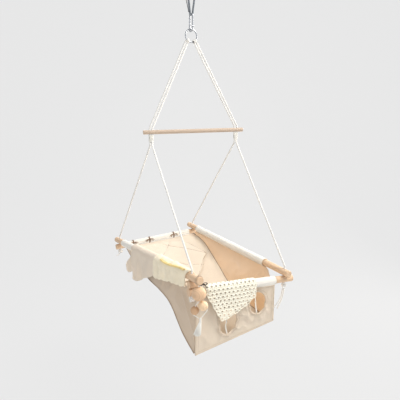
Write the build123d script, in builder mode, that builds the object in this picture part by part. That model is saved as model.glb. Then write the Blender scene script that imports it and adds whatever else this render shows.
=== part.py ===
from build123d import *
import math
import os

# A toddler swing: a canvas bucket seat sewn onto a frame of four wooden dowels, hung by
# four rope falls from a spreader bar, a steel ring, a spring-gate carabiner and a webbing
# sling. All sizes are millimetres. +Z is up, the front of the seat faces -Y and the
# origin is the middle of the sling's top bend, where a hook or a bar carries the swing.

# ---------------------------------------------------------------- driving dimensions
RAIL_D = 25.0  # beech dowels of the seat frame
STACK = RAIL_D + 0.5  # height between the axes of two dowels that cross
ROPE_D = 7.0  # braided cotton rope
ROPE_HOLE_D = 8.4  # hole through a dowel for one rope
BAR_D = 16.0  # spreader bar
BAR_SLOT = (20.0, 8.0)  # slot through the spreader bar for a pair of ropes
PAIR_GAP = 11.0  # spacing of the two ropes of a pair at the bar
WHIP_GAP = 7.6  # spacing of the same two ropes inside the whipping
RING_WIRE, RING_OD = 5.0, 52.0
CLIP_WIRE, CLIP_W, CLIP_H, CLIP_R = 6.5, 27.5, 59.5, 8.0  # centre-line width and height
SLING_W, SLING_T, HOOK_R, SLING_PLAY = 16.0, 2.0, 15.0, 0.6
CANVAS = 2.4  # double layer of canvas
SLEEVE_GAP = 0.4  # between a dowel and the canvas channel around it
KNOT_D = 24.0

# heights of the hanging hardware, below the origin
CLIP_TOP_Z = -83.0  # centre of the carabiner's top wire
CLIP_BOTTOM_Z = CLIP_TOP_Z - CLIP_H
RING_R = (RING_OD - RING_WIRE) / 2
RING_PIN_Z = CLIP_BOTTOM_Z + CLIP_WIRE / 2 + RING_WIRE / 2 + 0.3  # the ring's top wire
RING_Z = RING_PIN_Z - RING_R

# ends of the spreader bar's rope slots
BAR_LEFT = Vector(-154, 28, -522)
BAR_RIGHT = Vector(189, -27, -508)
BAR_OVERHANG = 30.0

# rope holes in the seat frame, on the dowels' axes. The frame hangs a little skewed and
# twisted, as a laced frame does. The side rails lie on top of the front and back rails.
BACK_LEFT = Vector(-199, 373, -1034)
BACK_RIGHT = Vector(183, 373, -996)
FRONT_LEFT = Vector(-136, -319, -988)
FRONT_RIGHT = Vector(239, -317, -1027)
DOWN = Vector(0, 0, -STACK)
SIDE_OVER_FRONT, SIDE_OVER_BACK = 54.0, 45.0
RIGHT_OVER_FRONT, RIGHT_OVER_BACK = 26.0, 40.0
PEG_LEFT, PEG_RIGHT = 13.0, 16.0  # the spacer peg each side of the front left rope

# the ends of the canvas channels
SIDE_SLEEVE_Y = (320.0, -162.0)
RIGHT_SLEEVE_Y = (320.0, -206.0)
FRONT_SLEEVE_X = (-118.0, 195.0)
BACK_SLEEVE_X = (-162.0, 158.0)
CORNER_LEFT = Vector(-125, -326, -1262)  # bottom corners of the front panel
CORNER_RIGHT = Vector(212, -296, -1220)
# the seams between the sloping back panel and the side panels, from the back rail down to
# the bottom of the front panel
SEAM_LEFT = [
    Vector(-175, 350, -1062),
    Vector(-178, 235, -1082),
    Vector(-175, 124, -1096),
    Vector(-168, 20, -1111),
    Vector(-160, -75, -1117),
    Vector(-152, -167, -1138),
    Vector(-142, -257, -1210),
    Vector(-127, -320, -1258),
]
SEAM_RIGHT = [
    Vector(178, 350, -1028),
    Vector(180, 235, -1044),
    Vector(170, 124, -1078),
    Vector(156, 20, -1107),
    Vector(144, -75, -1136),
    Vector(154, -167, -1174),
    Vector(186, -257, -1204),
    Vector(211, -290, -1216),
]

LEG_HOLE = (66.0, 90.0)  # clear opening of a leg hole
BINDING = 8.0  # width of the rolled edge around it
LEG_PLACES = ((0.385, 0.595), (0.77, 0.375))  # across and down the front panel

BALL_D = 47.0
BEAD_D = (32.0, 28.0)
TOY_CORD_D = 3.0
TOY_DROP = 44.0  # from the side rail's axis to the ball's centre

os.makedirs("parts", exist_ok=True)


def save(part, name):
    part.label = name
    export_step(part, f"parts/{name}.step")


def along(start, end, distance):
    """The point at a distance past start on the way to end."""
    return start + (end - start).normalized() * distance


def at_y(start, end, y):
    return start + (end - start) * ((y - start.Y) / (end.Y - start.Y))


def at_x(start, end, x):
    return start + (end - start) * ((x - start.X) / (end.X - start.X))


def big_radii(points, smallest):
    """For each corner of a route, the largest tangent arc that its two runs allow."""
    radii = []
    for before, point, after in zip(points, points[1:], points[2:]):
        runs = point - before, after - point
        half_turn = math.radians(runs[0].get_angle(runs[1])) / 2
        shorter = min(runs[0].length, runs[1].length)
        radii.append(max(smallest, min(0.45 * shorter / math.tan(half_turn), 400)))
    return radii


def tube(points, diameter, radii=None):
    """A round cord along straight runs joined by tangent arcs."""
    with BuildPart() as cord:
        with BuildLine() as route:
            if len(points) == 2:
                Line(*points)
            else:
                FilletPolyline(*points, radius=radii or big_radii(points, diameter))
        with BuildSketch(Plane(origin=route.line @ 0, z_dir=route.line % 0)):
            Circle(diameter / 2)
        sweep()
    return cord.part


def dowel(start, end, diameter, hole_points, hole_d):
    """A round rail with softened ends and vertical rope holes."""
    axis = Plane(origin=start, z_dir=end - start)
    with BuildPart() as rail:
        with BuildSketch(axis):
            Circle(diameter / 2)
        extrude(amount=(end - start).length)
        fillet(rail.edges().filter_by(GeomType.CIRCLE), 1.6)
        for point in hole_points:
            with BuildSketch(Plane(origin=point + Vector(0, 0, diameter))):
                Circle(hole_d / 2)
            extrude(amount=-2 * diameter, mode=Mode.SUBTRACT)
    return rail.part


def channel(start, end):
    """The round canvas channel that a dowel passes through."""
    inner = RAIL_D / 2 + SLEEVE_GAP
    with BuildPart() as sleeve:
        with BuildSketch(Plane(origin=start, z_dir=end - start)):
            Circle(inner + CANVAS)
            Circle(inner, mode=Mode.SUBTRACT)
        extrude(amount=(end - start).length)
    return sleeve.part


def thick_line(points, thickness):
    """The outline of an open line of points with a thickness, with mitred corners."""
    sides = []
    for side in (1, -1):
        for i, (x, y) in enumerate(points):
            before, after = points[max(i - 1, 0)], points[min(i + 1, len(points) - 1)]
            first = math.atan2(y - before[1], x - before[0]) if i else None
            second = math.atan2(after[1] - y, after[0] - x) if i < len(points) - 1 else None
            first, second = first if i else second, second if second is not None else first
            middle = first + ((second - first + math.pi) % (2 * math.pi) - math.pi) / 2
            reach = side * thickness / 2 / math.cos(middle - first)
            sides.append((x - reach * math.sin(middle), y + reach * math.cos(middle)))
    half = len(points)
    return sides[:half] + sides[half:][::-1]


def band(sections, thickness):
    """A ruled sheet with a thickness through open lines, each drawn on its own plane."""
    with BuildPart() as sheet:
        for plane, points in sections:
            with BuildSketch(plane):
                with BuildLine():
                    Polyline(*thick_line(points, thickness), close=True)
                make_face()
        loft(ruled=True)
    return sheet.part


def ribbon(lines, thickness):
    """A ruled sheet with a thickness through straight lines, each from start to end."""
    middles = [(start + end) / 2 for start, end in lines]
    with BuildPart() as sheet:
        for i, (start, end) in enumerate(lines):
            across = end - start
            run = middles[min(i + 1, len(lines) - 1)] - middles[max(i - 1, 0)]
            forward = run - across * (run.dot(across) / across.dot(across))
            with BuildSketch(Plane(origin=middles[i], x_dir=across, z_dir=forward)):
                Rectangle(across.length, thickness)
        loft(ruled=True)
    return sheet.part


def saddle(centre, inner_radius, thickness, drops):
    """Points of cloth that lies over a rail and hangs on both sides of it."""
    x, z = centre
    radius = (inner_radius + thickness / 2) / math.cos(math.pi / 8)
    arc = [(x - radius * math.cos(a * math.pi / 4), z + radius * math.sin(a * math.pi / 4)) for a in range(5)]
    return [(x - radius, z - drops[0]), *arc, (x + radius, z - drops[1])]


def save_group(parts, name):
    """Several separate solids of one kind in one file."""
    save(Compound(children=[part.solid() for part in parts]), name)


# ---------------------------------------------------------------- sling and its cord
with BuildPart() as sling:
    with BuildSketch(Plane.XZ) as outer:
        for centre, radius in (((0, 0), HOOK_R), ((0, CLIP_TOP_Z), CLIP_WIRE / 2 + SLING_PLAY)):
            with Locations(centre):
                Circle(radius + SLING_T)
        make_hull()
    extrude(amount=SLING_W / 2, both=True)
    with BuildSketch(Plane.XZ) as inner:
        for centre, radius in (((0, 0), HOOK_R), ((0, CLIP_TOP_Z), CLIP_WIRE / 2 + SLING_PLAY)):
            with Locations(centre):
                Circle(radius)
        make_hull()
    extrude(amount=SLING_W, both=True, mode=Mode.SUBTRACT)
save(sling.part, "sling")

# a thin keeper cord beside the sling, knotted to it above the carabiner and at its top bend
KEEPER_D, KEEPER_KNOT_R = 3.0, 3.4
keeper_route = [
    Vector(-13.5, -3, CLIP_TOP_Z + 12),
    Vector(-19, -4, CLIP_TOP_Z + 33),
    Vector(-26, -4, CLIP_TOP_Z + 56),
    Vector(-29, -3, CLIP_TOP_Z + 77),
    Vector(-23.5, -1, CLIP_TOP_Z + 89),
]
save(tube(keeper_route, KEEPER_D), "keeper_cord")
with BuildPart() as keeper_knots:
    with Locations((-11.8, -3, CLIP_TOP_Z + 8.1), (-20.8, 0, CLIP_TOP_Z + 91.9)):
        Sphere(KEEPER_KNOT_R)
save(keeper_knots.part, "keeper_knots")

# ---------------------------------------------------------------- carabiner and gate
GATE_Y = -CLIP_W / 2
GATE_TOP_Z, NOSE_Z = CLIP_TOP_Z - 13.5, CLIP_TOP_Z - 13.0
PIVOT_Z = CLIP_TOP_Z - 45.0
TANG_T, EAR_SLOT, PIVOT_D, TANG_R = 2.4, 2.8, 2.0, 2.6
SHOULDER_Z = PIVOT_Z - 4.0
with BuildPart() as carabiner:
    with BuildLine() as wire:
        FilletPolyline(
            (0, GATE_Y, SHOULDER_Z),
            (0, GATE_Y, CLIP_BOTTOM_Z),
            (0, -GATE_Y, CLIP_BOTTOM_Z),
            (0, -GATE_Y, CLIP_TOP_Z),
            (0, GATE_Y, CLIP_TOP_Z),
            (0, GATE_Y, NOSE_Z),
            radius=CLIP_R,
        )
    with BuildSketch(Plane(origin=wire.line @ 0, z_dir=wire.line % 0)):
        Circle(CLIP_WIRE / 2)
    sweep()
    with BuildSketch(Plane.YZ.offset(-TANG_T / 2)):
        with Locations((GATE_Y, PIVOT_Z)):
            Circle(TANG_R)
        with Locations((GATE_Y, (PIVOT_Z + SHOULDER_Z) / 2)):
            Rectangle(2 * TANG_R, PIVOT_Z - SHOULDER_Z + 0.6)
    extrude(amount=TANG_T)
    with Locations(Plane.YZ):
        with Locations((GATE_Y, PIVOT_Z)):
            Hole(PIVOT_D / 2 + 0.05)
save(carabiner.part, "carabiner")

with BuildPart() as gate:
    with BuildSketch(Plane.XY.offset(PIVOT_Z)):
        with Locations((0, GATE_Y)):
            Circle(3.0)
    extrude(amount=GATE_TOP_Z - PIVOT_Z)
    with BuildSketch(Plane.YZ.offset(-2.9)):
        with Locations((GATE_Y, PIVOT_Z)):
            Circle(3.0)
    extrude(amount=5.8)
    with Locations((0, GATE_Y, PIVOT_Z)):
        Box(EAR_SLOT, 8, 7.2, mode=Mode.SUBTRACT)
    with Locations(Plane.YZ):
        with Locations((GATE_Y, PIVOT_Z)):
            Hole(PIVOT_D / 2)
save(gate.part, "carabiner_gate")

with BuildPart() as pivot_pin:
    with BuildSketch(Plane.YZ.offset(-3.2)):
        with Locations((GATE_Y, PIVOT_Z)):
            Circle(PIVOT_D / 2)
    extrude(amount=6.4)
save(pivot_pin.part, "gate_pin")

# ---------------------------------------------------------------- ring and rope hitches
with BuildPart() as ring:
    with BuildSketch(Plane.XY.offset(RING_Z)):
        with Locations((RING_R, 0)):
            Circle(RING_WIRE / 2)
    revolve(axis=Axis((0, 0, RING_Z), (0, 1, 0)))
save(ring.part, "ring")

HITCH_ANGLE, HITCH_SPAN = 37.0, 38.0  # degrees round the ring, from its lowest point
HITCH_R = 7.6
for name, side in (("hitch_left", -1), ("hitch_right", 1)):
    start = math.radians(side * HITCH_ANGLE + HITCH_SPAN / 2)
    outward = Vector(math.sin(start), 0, -math.cos(start))
    section = Plane(
        origin=Vector(0, 0, RING_Z) + outward * RING_R,
        x_dir=outward,
        z_dir=outward.cross(Vector(0, 1, 0)),
    )
    with BuildPart() as hitch:
        with BuildSketch(section):
            Circle(HITCH_R)
            Circle(RING_WIRE / 2 + 0.3, mode=Mode.SUBTRACT)
        revolve(axis=Axis((0, 0, RING_Z), (0, 1, 0)), revolution_arc=HITCH_SPAN)
    save(hitch.part, name)

# ---------------------------------------------------------------- spreader bar and ropes
bar_axis = (BAR_RIGHT - BAR_LEFT).normalized()
bar_plan = Vector(bar_axis.X, bar_axis.Y, 0).normalized()
with BuildPart() as spreader_bar:
    with BuildSketch(Plane(origin=BAR_LEFT - bar_axis * BAR_OVERHANG, z_dir=bar_axis)):
        Circle(BAR_D / 2)
    extrude(amount=(BAR_RIGHT - BAR_LEFT).length + 2 * BAR_OVERHANG)
    fillet(spreader_bar.edges().filter_by(GeomType.CIRCLE), 1.2)
    for middle in (BAR_LEFT, BAR_RIGHT):
        with BuildSketch(Plane(origin=middle + Vector(0, 0, BAR_D), x_dir=bar_plan, z_dir=(0, 0, 1))):
            SlotOverall(*BAR_SLOT)
        extrude(amount=-2 * BAR_D, mode=Mode.SUBTRACT)
save(spreader_bar.part, "spreader_bar")

TURN_ABOVE, TURN_BELOW = 14.0, 50.0  # the ropes turn above the bar and under the whipping
WHIP_TOP, WHIP_BOTTOM = 9.0, 37.0  # below the bar's axis
ROPE_START_R = 33.4  # from the middle of the ring
ROPE_SPLAY = 9.0  # degrees between a rope's start and the middle of its hitch
LAST_TURN = 12.0  # from the top of the rail up to the last turn
ROPE_TURN_R = 35.0
RAIL_TURN_R = 22.0
FALLS = (
    # name, slot, side of the pair, hitch side, top hole, number of dowels that it passes
    ("left_back", BAR_LEFT, -1, -1, BACK_LEFT, 2),
    ("left_front", BAR_LEFT, 1, -1, FRONT_LEFT, 3),
    ("right_back", BAR_RIGHT, -1, 1, BACK_RIGHT, 2),
    ("right_front", BAR_RIGHT, 1, 1, FRONT_RIGHT, 2),
)
slot_runs = {}
for name, middle, side, hitch_side, hole, count in FALLS:
    angle = math.radians(hitch_side * HITCH_ANGLE + side * ROPE_SPLAY)
    start = Vector(ROPE_START_R * math.sin(angle), 0, RING_Z - ROPE_START_R * math.cos(angle))
    above = middle + bar_plan * (side * PAIR_GAP / 2) + Vector(0, 0, TURN_ABOVE)
    below = middle + bar_plan * (side * WHIP_GAP / 2) + Vector(0, 0, -TURN_BELOW)
    last_turn = hole + Vector(0, 0, RAIL_D / 2 + LAST_TURN)
    end = hole + DOWN * (count - 1) + Vector(0, 0, -RAIL_D / 2 + 1)
    slot_runs[name] = (above, below)
    save(
        tube([start, above, below, last_turn, end], ROPE_D, [ROPE_TURN_R, ROPE_TURN_R, RAIL_TURN_R]),
        f"rope_{name}",
    )
    with BuildPart() as knot:
        with Locations(hole + DOWN * (count - 1) + Vector(0, 0, -RAIL_D / 2 - KNOT_D / 2 - 0.2)):
            Sphere(KNOT_D / 2)
    save(knot.part, f"knot_{name}")
print("rope radii", ROPE_TURN_R, RAIL_TURN_R)

for name, middle in (("left", BAR_LEFT), ("right", BAR_RIGHT)):
    bores = [tube(slot_runs[f"{name}_{end}"], ROPE_D + 0.6) for end in ("back", "front")]
    with BuildPart() as whipping:
        with BuildSketch(Plane(origin=middle + Vector(0, 0, -WHIP_BOTTOM), x_dir=bar_plan, z_dir=(0, 0, 1))):
            SlotOverall(19.5, 10.6)
        extrude(amount=WHIP_BOTTOM - WHIP_TOP)
        for bore in bores:
            add(bore, mode=Mode.SUBTRACT)
    save(whipping.part, f"whipping_{name}")

# two loose tails under the front right knot
TAIL_D = 6.0
tail_top = FRONT_RIGHT + DOWN + Vector(0, 0, -RAIL_D / 2 - KNOT_D - 0.6)
TAIL_ROUTES = {
    "rope_tail_1": [(-5.5, -2, 0), (-9, -3, -17), (-16, -4, -36), (-27, -3, -53), (-41, -2, -67)],
    "rope_tail_2": [(2.5, 1, -0.2), (2, 2, -18), (-3, 3, -39), (-12, 3, -59), (-24, 1, -76)],
}
for name, route in TAIL_ROUTES.items():
    save(tube([tail_top + Vector(*step) for step in route], TAIL_D), name)

# ---------------------------------------------------------------- the dowels of the seat
front_left_low = FRONT_LEFT + DOWN * 2
front_right_low = FRONT_RIGHT + DOWN
back_left_low = BACK_LEFT + DOWN
back_right_low = BACK_RIGHT + DOWN
RAILS = (
    # name, two holes on the axis, overhang past each
    ("rail_left", FRONT_LEFT, BACK_LEFT, SIDE_OVER_FRONT, SIDE_OVER_BACK),
    ("rail_right", FRONT_RIGHT, BACK_RIGHT, RIGHT_OVER_FRONT, RIGHT_OVER_BACK),
    ("rail_back", back_left_low, back_right_low, 20.0, 30.0),
    ("rail_front", front_left_low, front_right_low, 14.0, 34.0),
)
for name, first, second, over_first, over_second in RAILS:
    start, end = along(first, second, -over_first), along(second, first, -over_second)
    save(dowel(start, end, RAIL_D, (first, second), ROPE_HOLE_D), name)
peg_hole = FRONT_LEFT + DOWN
front_dir = (front_right_low - front_left_low).normalized()
peg_start, peg_end = peg_hole - front_dir * PEG_LEFT, peg_hole + front_dir * PEG_RIGHT
save(dowel(peg_start, peg_end, RAIL_D, (peg_hole,), ROPE_HOLE_D), "spacer_peg")

# ---------------------------------------------------------------- canvas seat
side_ends = [at_y(FRONT_LEFT, BACK_LEFT, y) for y in SIDE_SLEEVE_Y]
right_ends = [at_y(FRONT_RIGHT, BACK_RIGHT, y) for y in RIGHT_SLEEVE_Y]
front_ends = [at_x(front_left_low, front_right_low, x) for x in FRONT_SLEEVE_X]
back_ends = [at_x(back_left_low, back_right_low, x) for x in BACK_SLEEVE_X]
for name, (start, end) in (
    ("sleeve_left", side_ends),
    ("sleeve_right", right_ends),
    ("sleeve_front", front_ends),
    ("sleeve_back", back_ends),
):
    save(channel(start, end), name)

SLEEVE_R = RAIL_D / 2 + SLEEVE_GAP + CANVAS
HANG = Vector(0, 0, -SLEEVE_R - 1.2)  # from a rail's axis to the top edge of a panel
SEAM_IN = 2.4  # each panel stops this far short of the seam line


def trimmed(start, end, first=SEAM_IN, last=SEAM_IN):
    """A line shortened at its two ends."""
    return along(start, end, first), along(end, start, last)


# front panel with two leg holes and their rolled bindings
front_top = [point + HANG for point in front_ends]
front_lines = [
    trimmed(front_top[0], front_top[1], 1, 1),
    trimmed(CORNER_LEFT + Vector(0, 0, SEAM_IN), CORNER_RIGHT + Vector(0, 0, SEAM_IN)),
]
hole_planes = []
for u, v in LEG_PLACES:
    top = front_top[0] + (front_top[1] - front_top[0]) * u
    bottom = CORNER_LEFT + (CORNER_RIGHT - CORNER_LEFT) * u
    across = (front_top[1] - front_top[0]).normalized()
    middle = top + (bottom - top) * v
    hole_planes.append(Plane(origin=middle, x_dir=across, z_dir=(bottom - top).cross(across)))
front_sheet = ribbon(front_lines, CANVAS)
with BuildPart() as seat_front:
    add(front_sheet)
    for plane in hole_planes:
        with BuildSketch(plane.offset(-30)):
            Ellipse(LEG_HOLE[0] / 2 + BINDING + 0.4, LEG_HOLE[1] / 2 + BINDING + 0.4)
        extrude(amount=60, mode=Mode.SUBTRACT)
save(seat_front.part, "seat_front")
for name, plane in zip(("leg_binding_left", "leg_binding_right"), hole_planes):
    with BuildPart() as binding:
        with BuildSketch(plane.offset(-4)):
            Ellipse(LEG_HOLE[0] / 2 + BINDING, LEG_HOLE[1] / 2 + BINDING)
            Ellipse(LEG_HOLE[0] / 2, LEG_HOLE[1] / 2, mode=Mode.SUBTRACT)
        extrude(amount=8)
    save(binding.part, name)

# the back panel and its two side panels
save(ribbon([trimmed(*pair) for pair in zip(SEAM_LEFT, SEAM_RIGHT)], CANVAS), "seat_back")
for name, seam, sleeve, front_corner in (
    ("seat_left", SEAM_LEFT, side_ends, front_top[0] + Vector(-1.5, 3.5, 0)),
    ("seat_right", SEAM_RIGHT, right_ends, front_top[1] + Vector(1.5, 3.5, 0)),
):
    rail_front = sleeve[1] + HANG
    tops = [at_y(*sleeve, min(point.Y, sleeve[0].Y)) + HANG for point in seam[:5]]
    tops += [rail_front, rail_front + (front_corner - rail_front) * 0.55, front_corner]
    lines = [trimmed(top, low, 0) for top, low in zip(tops, seam)]
    lines[-1] = (lines[-1][0], lines[-1][1] + Vector(0, 3.5, 0))
    save(ribbon(lines, CANVAS), name)

# ---------------------------------------------------------------- mat, throw and cloth
MAT_T, THROW_T, CLOTH_T = 4.2, 6.5, 4.0
OVER_R = SLEEVE_R + 0.6  # inside radius of cloth that lies over a sleeve


def seat_height(x, y):
    """Height of the back panel's middle surface."""
    for i in range(len(SEAM_LEFT) - 1):
        if SEAM_LEFT[i].Y >= y >= SEAM_LEFT[i + 1].Y:
            t = (SEAM_LEFT[i].Y - y) / (SEAM_LEFT[i].Y - SEAM_LEFT[i + 1].Y)
            left = SEAM_LEFT[i] + (SEAM_LEFT[i + 1] - SEAM_LEFT[i]) * t
            right = at_y(SEAM_RIGHT[i], SEAM_RIGHT[i + 1], y)
            return at_x(left, right, x).Z
    return SEAM_LEFT[0].Z


# stations across the rail: y, drop of the outside flap, reach over the seat
MAT_STATIONS = (
    (310, 4, 30),
    (236, 108, 112),
    (166, 132, 138),
    (128, 130, 142),
    (93, 126, 105),
    (0, 100, 45),
    (-58, 78, -8),
)
mat_sections = []
for y, drop, reach in MAT_STATIONS:
    rail = at_y(FRONT_LEFT, BACK_LEFT, y)
    over = saddle((rail.X, rail.Z), OVER_R, MAT_T, (drop, 12))
    lift = CANVAS / 2 + MAT_T / 2 + 4
    inner_x = over[-1][0] + 16
    inner = [(x, seat_height(x, y) + lift) for x in (inner_x, inner_x + (reach - inner_x) / 2, reach)]
    mat_sections.append((Plane.XZ.offset(-y), over + inner))
save(band(mat_sections, MAT_T), "petal_mat")

for number, x in enumerate((-137, -55, 72), 1):
    middle = at_x(back_left_low, back_right_low, x)
    with BuildPart() as tie:
        with BuildSketch(Plane(origin=middle, z_dir=back_right_low - back_left_low)):
            Circle(SLEEVE_R + 1.9)
            Circle(SLEEVE_R + 0.4, mode=Mode.SUBTRACT)
        extrude(amount=4, both=True)
    save(tie.part, f"mat_tie_{number}")

THROW_STATIONS = ((-64, 84, 42), (-142, 72, 66), (-222, 56, 52), (-297, 42, 26))
throw_sections = []
for y, drop, inside in THROW_STATIONS:
    rail = at_y(FRONT_LEFT, BACK_LEFT, y)
    throw_sections.append((Plane.XZ.offset(-y), saddle((rail.X, rail.Z), OVER_R, THROW_T, (drop, inside))))
save(band(throw_sections, THROW_T), "knit_throw")

CLOTH_STATIONS = ((-92, 14, 16), (-76, 34, 30), (-28, 118, 38), (50, 84, 40), (103, 44, 22))
cloth_sections = []
for x, drop, inside in CLOTH_STATIONS:
    rail = at_x(front_left_low, front_right_low, x)
    cloth_sections.append((Plane.YZ.offset(x), saddle((rail.Y, rail.Z), OVER_R, CLOTH_T, (drop, inside))))
save(band(cloth_sections, CLOTH_T), "crochet_cloth")

# ---------------------------------------------------------------- hanging toy
TOY_BORE, BEAD_BORE, TOY_TURN_R = 7.4, 4.2, 3.2
toy_top = along(FRONT_LEFT, BACK_LEFT, -45)
rail_dir = (FRONT_LEFT - BACK_LEFT).normalized()
loop_side = Vector(0, 0, -1).cross(rail_dir).normalized()
loop_down = rail_dir.cross(loop_side).normalized()
if loop_down.Z > 0:
    loop_down = -loop_down
LOOP_R = RAIL_D / 2 + 0.5 + TOY_CORD_D / 2
with BuildPart() as toy_loop:
    with BuildSketch(Plane(origin=toy_top + loop_down * LOOP_R, x_dir=loop_down, z_dir=loop_side)):
        Circle(TOY_CORD_D / 2)
    revolve(axis=Axis(toy_top, rail_dir))
save(toy_loop.part, "toy_loop")

STRAND = TOY_CORD_D / 2 + 0.3  # half the spacing of the two strands in the ball
LEFT_BEAD, RIGHT_BEAD = Vector(-11, 7, -101), Vector(12, -7, -84)
TOY_KNOT = Vector(6, 0, -130)
right_bore = (RIGHT_BEAD - Vector(STRAND, 0, -70.8)).normalized()
left_bore = Vector(-0.1, 0.15, -1).normalized()
STRANDS = {
    "toy_strand_left": [
        Vector(-STRAND, 0, -18.8),
        Vector(-STRAND, 0, -70.5),
        LEFT_BEAD - left_bore * 17.5,
        LEFT_BEAD + left_bore * 17.5,
        TOY_KNOT + Vector(-5.6, 1.8, 3.2),
    ],
    "toy_strand_right": [
        Vector(STRAND, 0, -18.8),
        Vector(STRAND, 0, -70.8),
        RIGHT_BEAD + right_bore * 19.5,
        TOY_KNOT + Vector(3.4, -2.2, 5.2),
    ],
}
for name, route in STRANDS.items():
    points = [toy_top + point for point in route]
    save(tube(points, TOY_CORD_D, [TOY_TURN_R] * (len(points) - 2)), name)

toy_ball_at = toy_top + Vector(0, 0, -TOY_DROP)
with BuildPart() as toy_ball:
    with Locations(toy_ball_at):
        Sphere(BALL_D / 2)
        Cylinder(TOY_BORE / 2, BALL_D + 4, mode=Mode.SUBTRACT)
save(toy_ball.part, "toy_ball")
for name, middle, diameter, axis in (
    ("toy_bead_left", LEFT_BEAD, BEAD_D[1], -left_bore),
    ("toy_bead_right", RIGHT_BEAD, BEAD_D[0], -right_bore),
):
    with BuildPart() as bead:
        with Locations(Plane(origin=toy_top + middle, z_dir=axis)):
            Sphere(diameter / 2)
            Cylinder(BEAD_BORE / 2, diameter + 4, mode=Mode.SUBTRACT)
    save(bead.part, name)
with BuildPart() as toy_knot:
    with Locations(toy_top + TOY_KNOT):
        Sphere(4.6)
save(toy_knot.part, "toy_knot")
with BuildPart() as toy_tassel:
    with BuildSketch(Plane(origin=toy_top + TOY_KNOT + Vector(0, 0, -5), z_dir=(0, 0, -1))):
        Circle(3.4)
    with BuildSketch(Plane(origin=toy_top + TOY_KNOT + Vector(0, 0, -24), z_dir=(0, 0, -1))):
        Circle(7.0)
    with BuildSketch(Plane(origin=toy_top + TOY_KNOT + Vector(-3, 0, -60), z_dir=(0, 0, -1))):
        Circle(13.0)
    loft(ruled=True)
save(toy_tassel.part, "toy_tassel")
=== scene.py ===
from math import asin, atan2, cos, exp, hypot, pi, radians, sin, sqrt

import bpy
from mathutils import Matrix, Vector, noise


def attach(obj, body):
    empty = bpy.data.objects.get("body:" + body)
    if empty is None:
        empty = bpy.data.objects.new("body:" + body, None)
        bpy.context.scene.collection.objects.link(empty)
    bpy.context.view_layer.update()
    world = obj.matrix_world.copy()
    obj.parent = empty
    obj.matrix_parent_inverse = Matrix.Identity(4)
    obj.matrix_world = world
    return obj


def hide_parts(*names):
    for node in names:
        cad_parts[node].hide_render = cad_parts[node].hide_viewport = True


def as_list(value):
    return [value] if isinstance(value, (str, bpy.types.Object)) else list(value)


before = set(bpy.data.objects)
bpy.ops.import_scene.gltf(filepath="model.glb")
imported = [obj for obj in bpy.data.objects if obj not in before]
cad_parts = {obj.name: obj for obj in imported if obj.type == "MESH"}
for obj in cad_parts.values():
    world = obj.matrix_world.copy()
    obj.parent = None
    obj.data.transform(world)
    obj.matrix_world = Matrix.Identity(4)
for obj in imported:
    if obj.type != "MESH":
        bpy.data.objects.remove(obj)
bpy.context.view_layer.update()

# ---------------------------------------------------------------- the part's driving points, in mm
RAIL_R = 12.5
STACK = 25.5
ROPE_D = 7.0
SLEEVE_R = 15.3  # outside radius of a canvas channel
RING_R, RING_Z = 23.5, -159.95
HITCH_TILT = 37  # degrees from straight down to each rope bight on the ring
BAR_LEFT, BAR_RIGHT = Vector((-154, 28, -522)), Vector((189, -27, -508))
FRONT_LEFT, FRONT_RIGHT = Vector((-136, -319, -988)), Vector((239, -317, -1027))
BACK_LEFT, BACK_RIGHT = Vector((-199, 373, -1034)), Vector((183, 373, -996))
DOWN = Vector((0, 0, -STACK))
FRONT_LEFT_LOW, FRONT_RIGHT_LOW = FRONT_LEFT + 2 * DOWN, FRONT_RIGHT + DOWN
BACK_LEFT_LOW, BACK_RIGHT_LOW = BACK_LEFT + DOWN, BACK_RIGHT + DOWN
CORNER_LEFT, CORNER_RIGHT = Vector((-125, -326, -1262)), Vector((212, -296, -1220))
SEAM_LEFT = [Vector(p) for p in (
    (-175, 350, -1062), (-178, 235, -1082), (-175, 124, -1096), (-168, 20, -1111),
    (-160, -75, -1117), (-152, -167, -1138), (-142, -257, -1210), (-127, -320, -1258),
)]
SEAM_RIGHT = [Vector(p) for p in (
    (178, 350, -1028), (180, 235, -1044), (170, 124, -1078), (156, 20, -1107),
    (144, -75, -1136), (154, -167, -1174), (186, -257, -1204), (211, -290, -1216),
)]
SIDE_SLEEVE_Y = (320.0, -162.0)
RIGHT_SLEEVE_Y = (320.0, -206.0)
FRONT_SLEEVE_X = (-118.0, 195.0)
BACK_SLEEVE_X = (-162.0, 158.0)


def lerp(a, b, t):
    return a + (b - a) * t


def toward(a, b, distance):
    return a + (b - a).normalized() * distance


def at_y(a, b, y):
    return lerp(a, b, (y - a.y) / (b.y - a.y))


def at_x(a, b, x):
    return lerp(a, b, (x - a.x) / (b.x - a.x))


def step(a, b, x):
    """0 below a, 1 above b, and smooth between."""
    t = min(max((x - a) / (b - a), 0), 1)
    return t * t * (3 - 2 * t)


def curve_at(points, t):
    """A smooth curve through points, t from 0 to 1."""
    span = t * (len(points) - 1)
    i = min(int(span), len(points) - 2)
    f = span - i
    p0, p1 = points[max(i - 1, 0)], points[i]
    p2, p3 = points[i + 1], points[min(i + 2, len(points) - 1)]
    return 0.5 * (
        2 * p1 + (p2 - p0) * f + (2 * p0 - 5 * p1 + 4 * p2 - p3) * f * f
        + (3 * p1 - p0 - 3 * p2 + p3) * f ** 3
    )


def table_at(rows, x):
    """A smooth value from rows of (x, value), rising in x."""
    if x <= rows[0][0]:
        return rows[0][1]
    for (x0, v0), (x1, v1) in zip(rows, rows[1:]):
        if x <= x1:
            return v0 + (v1 - v0) * step(x0, x1, x)
    return rows[-1][1]


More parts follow.
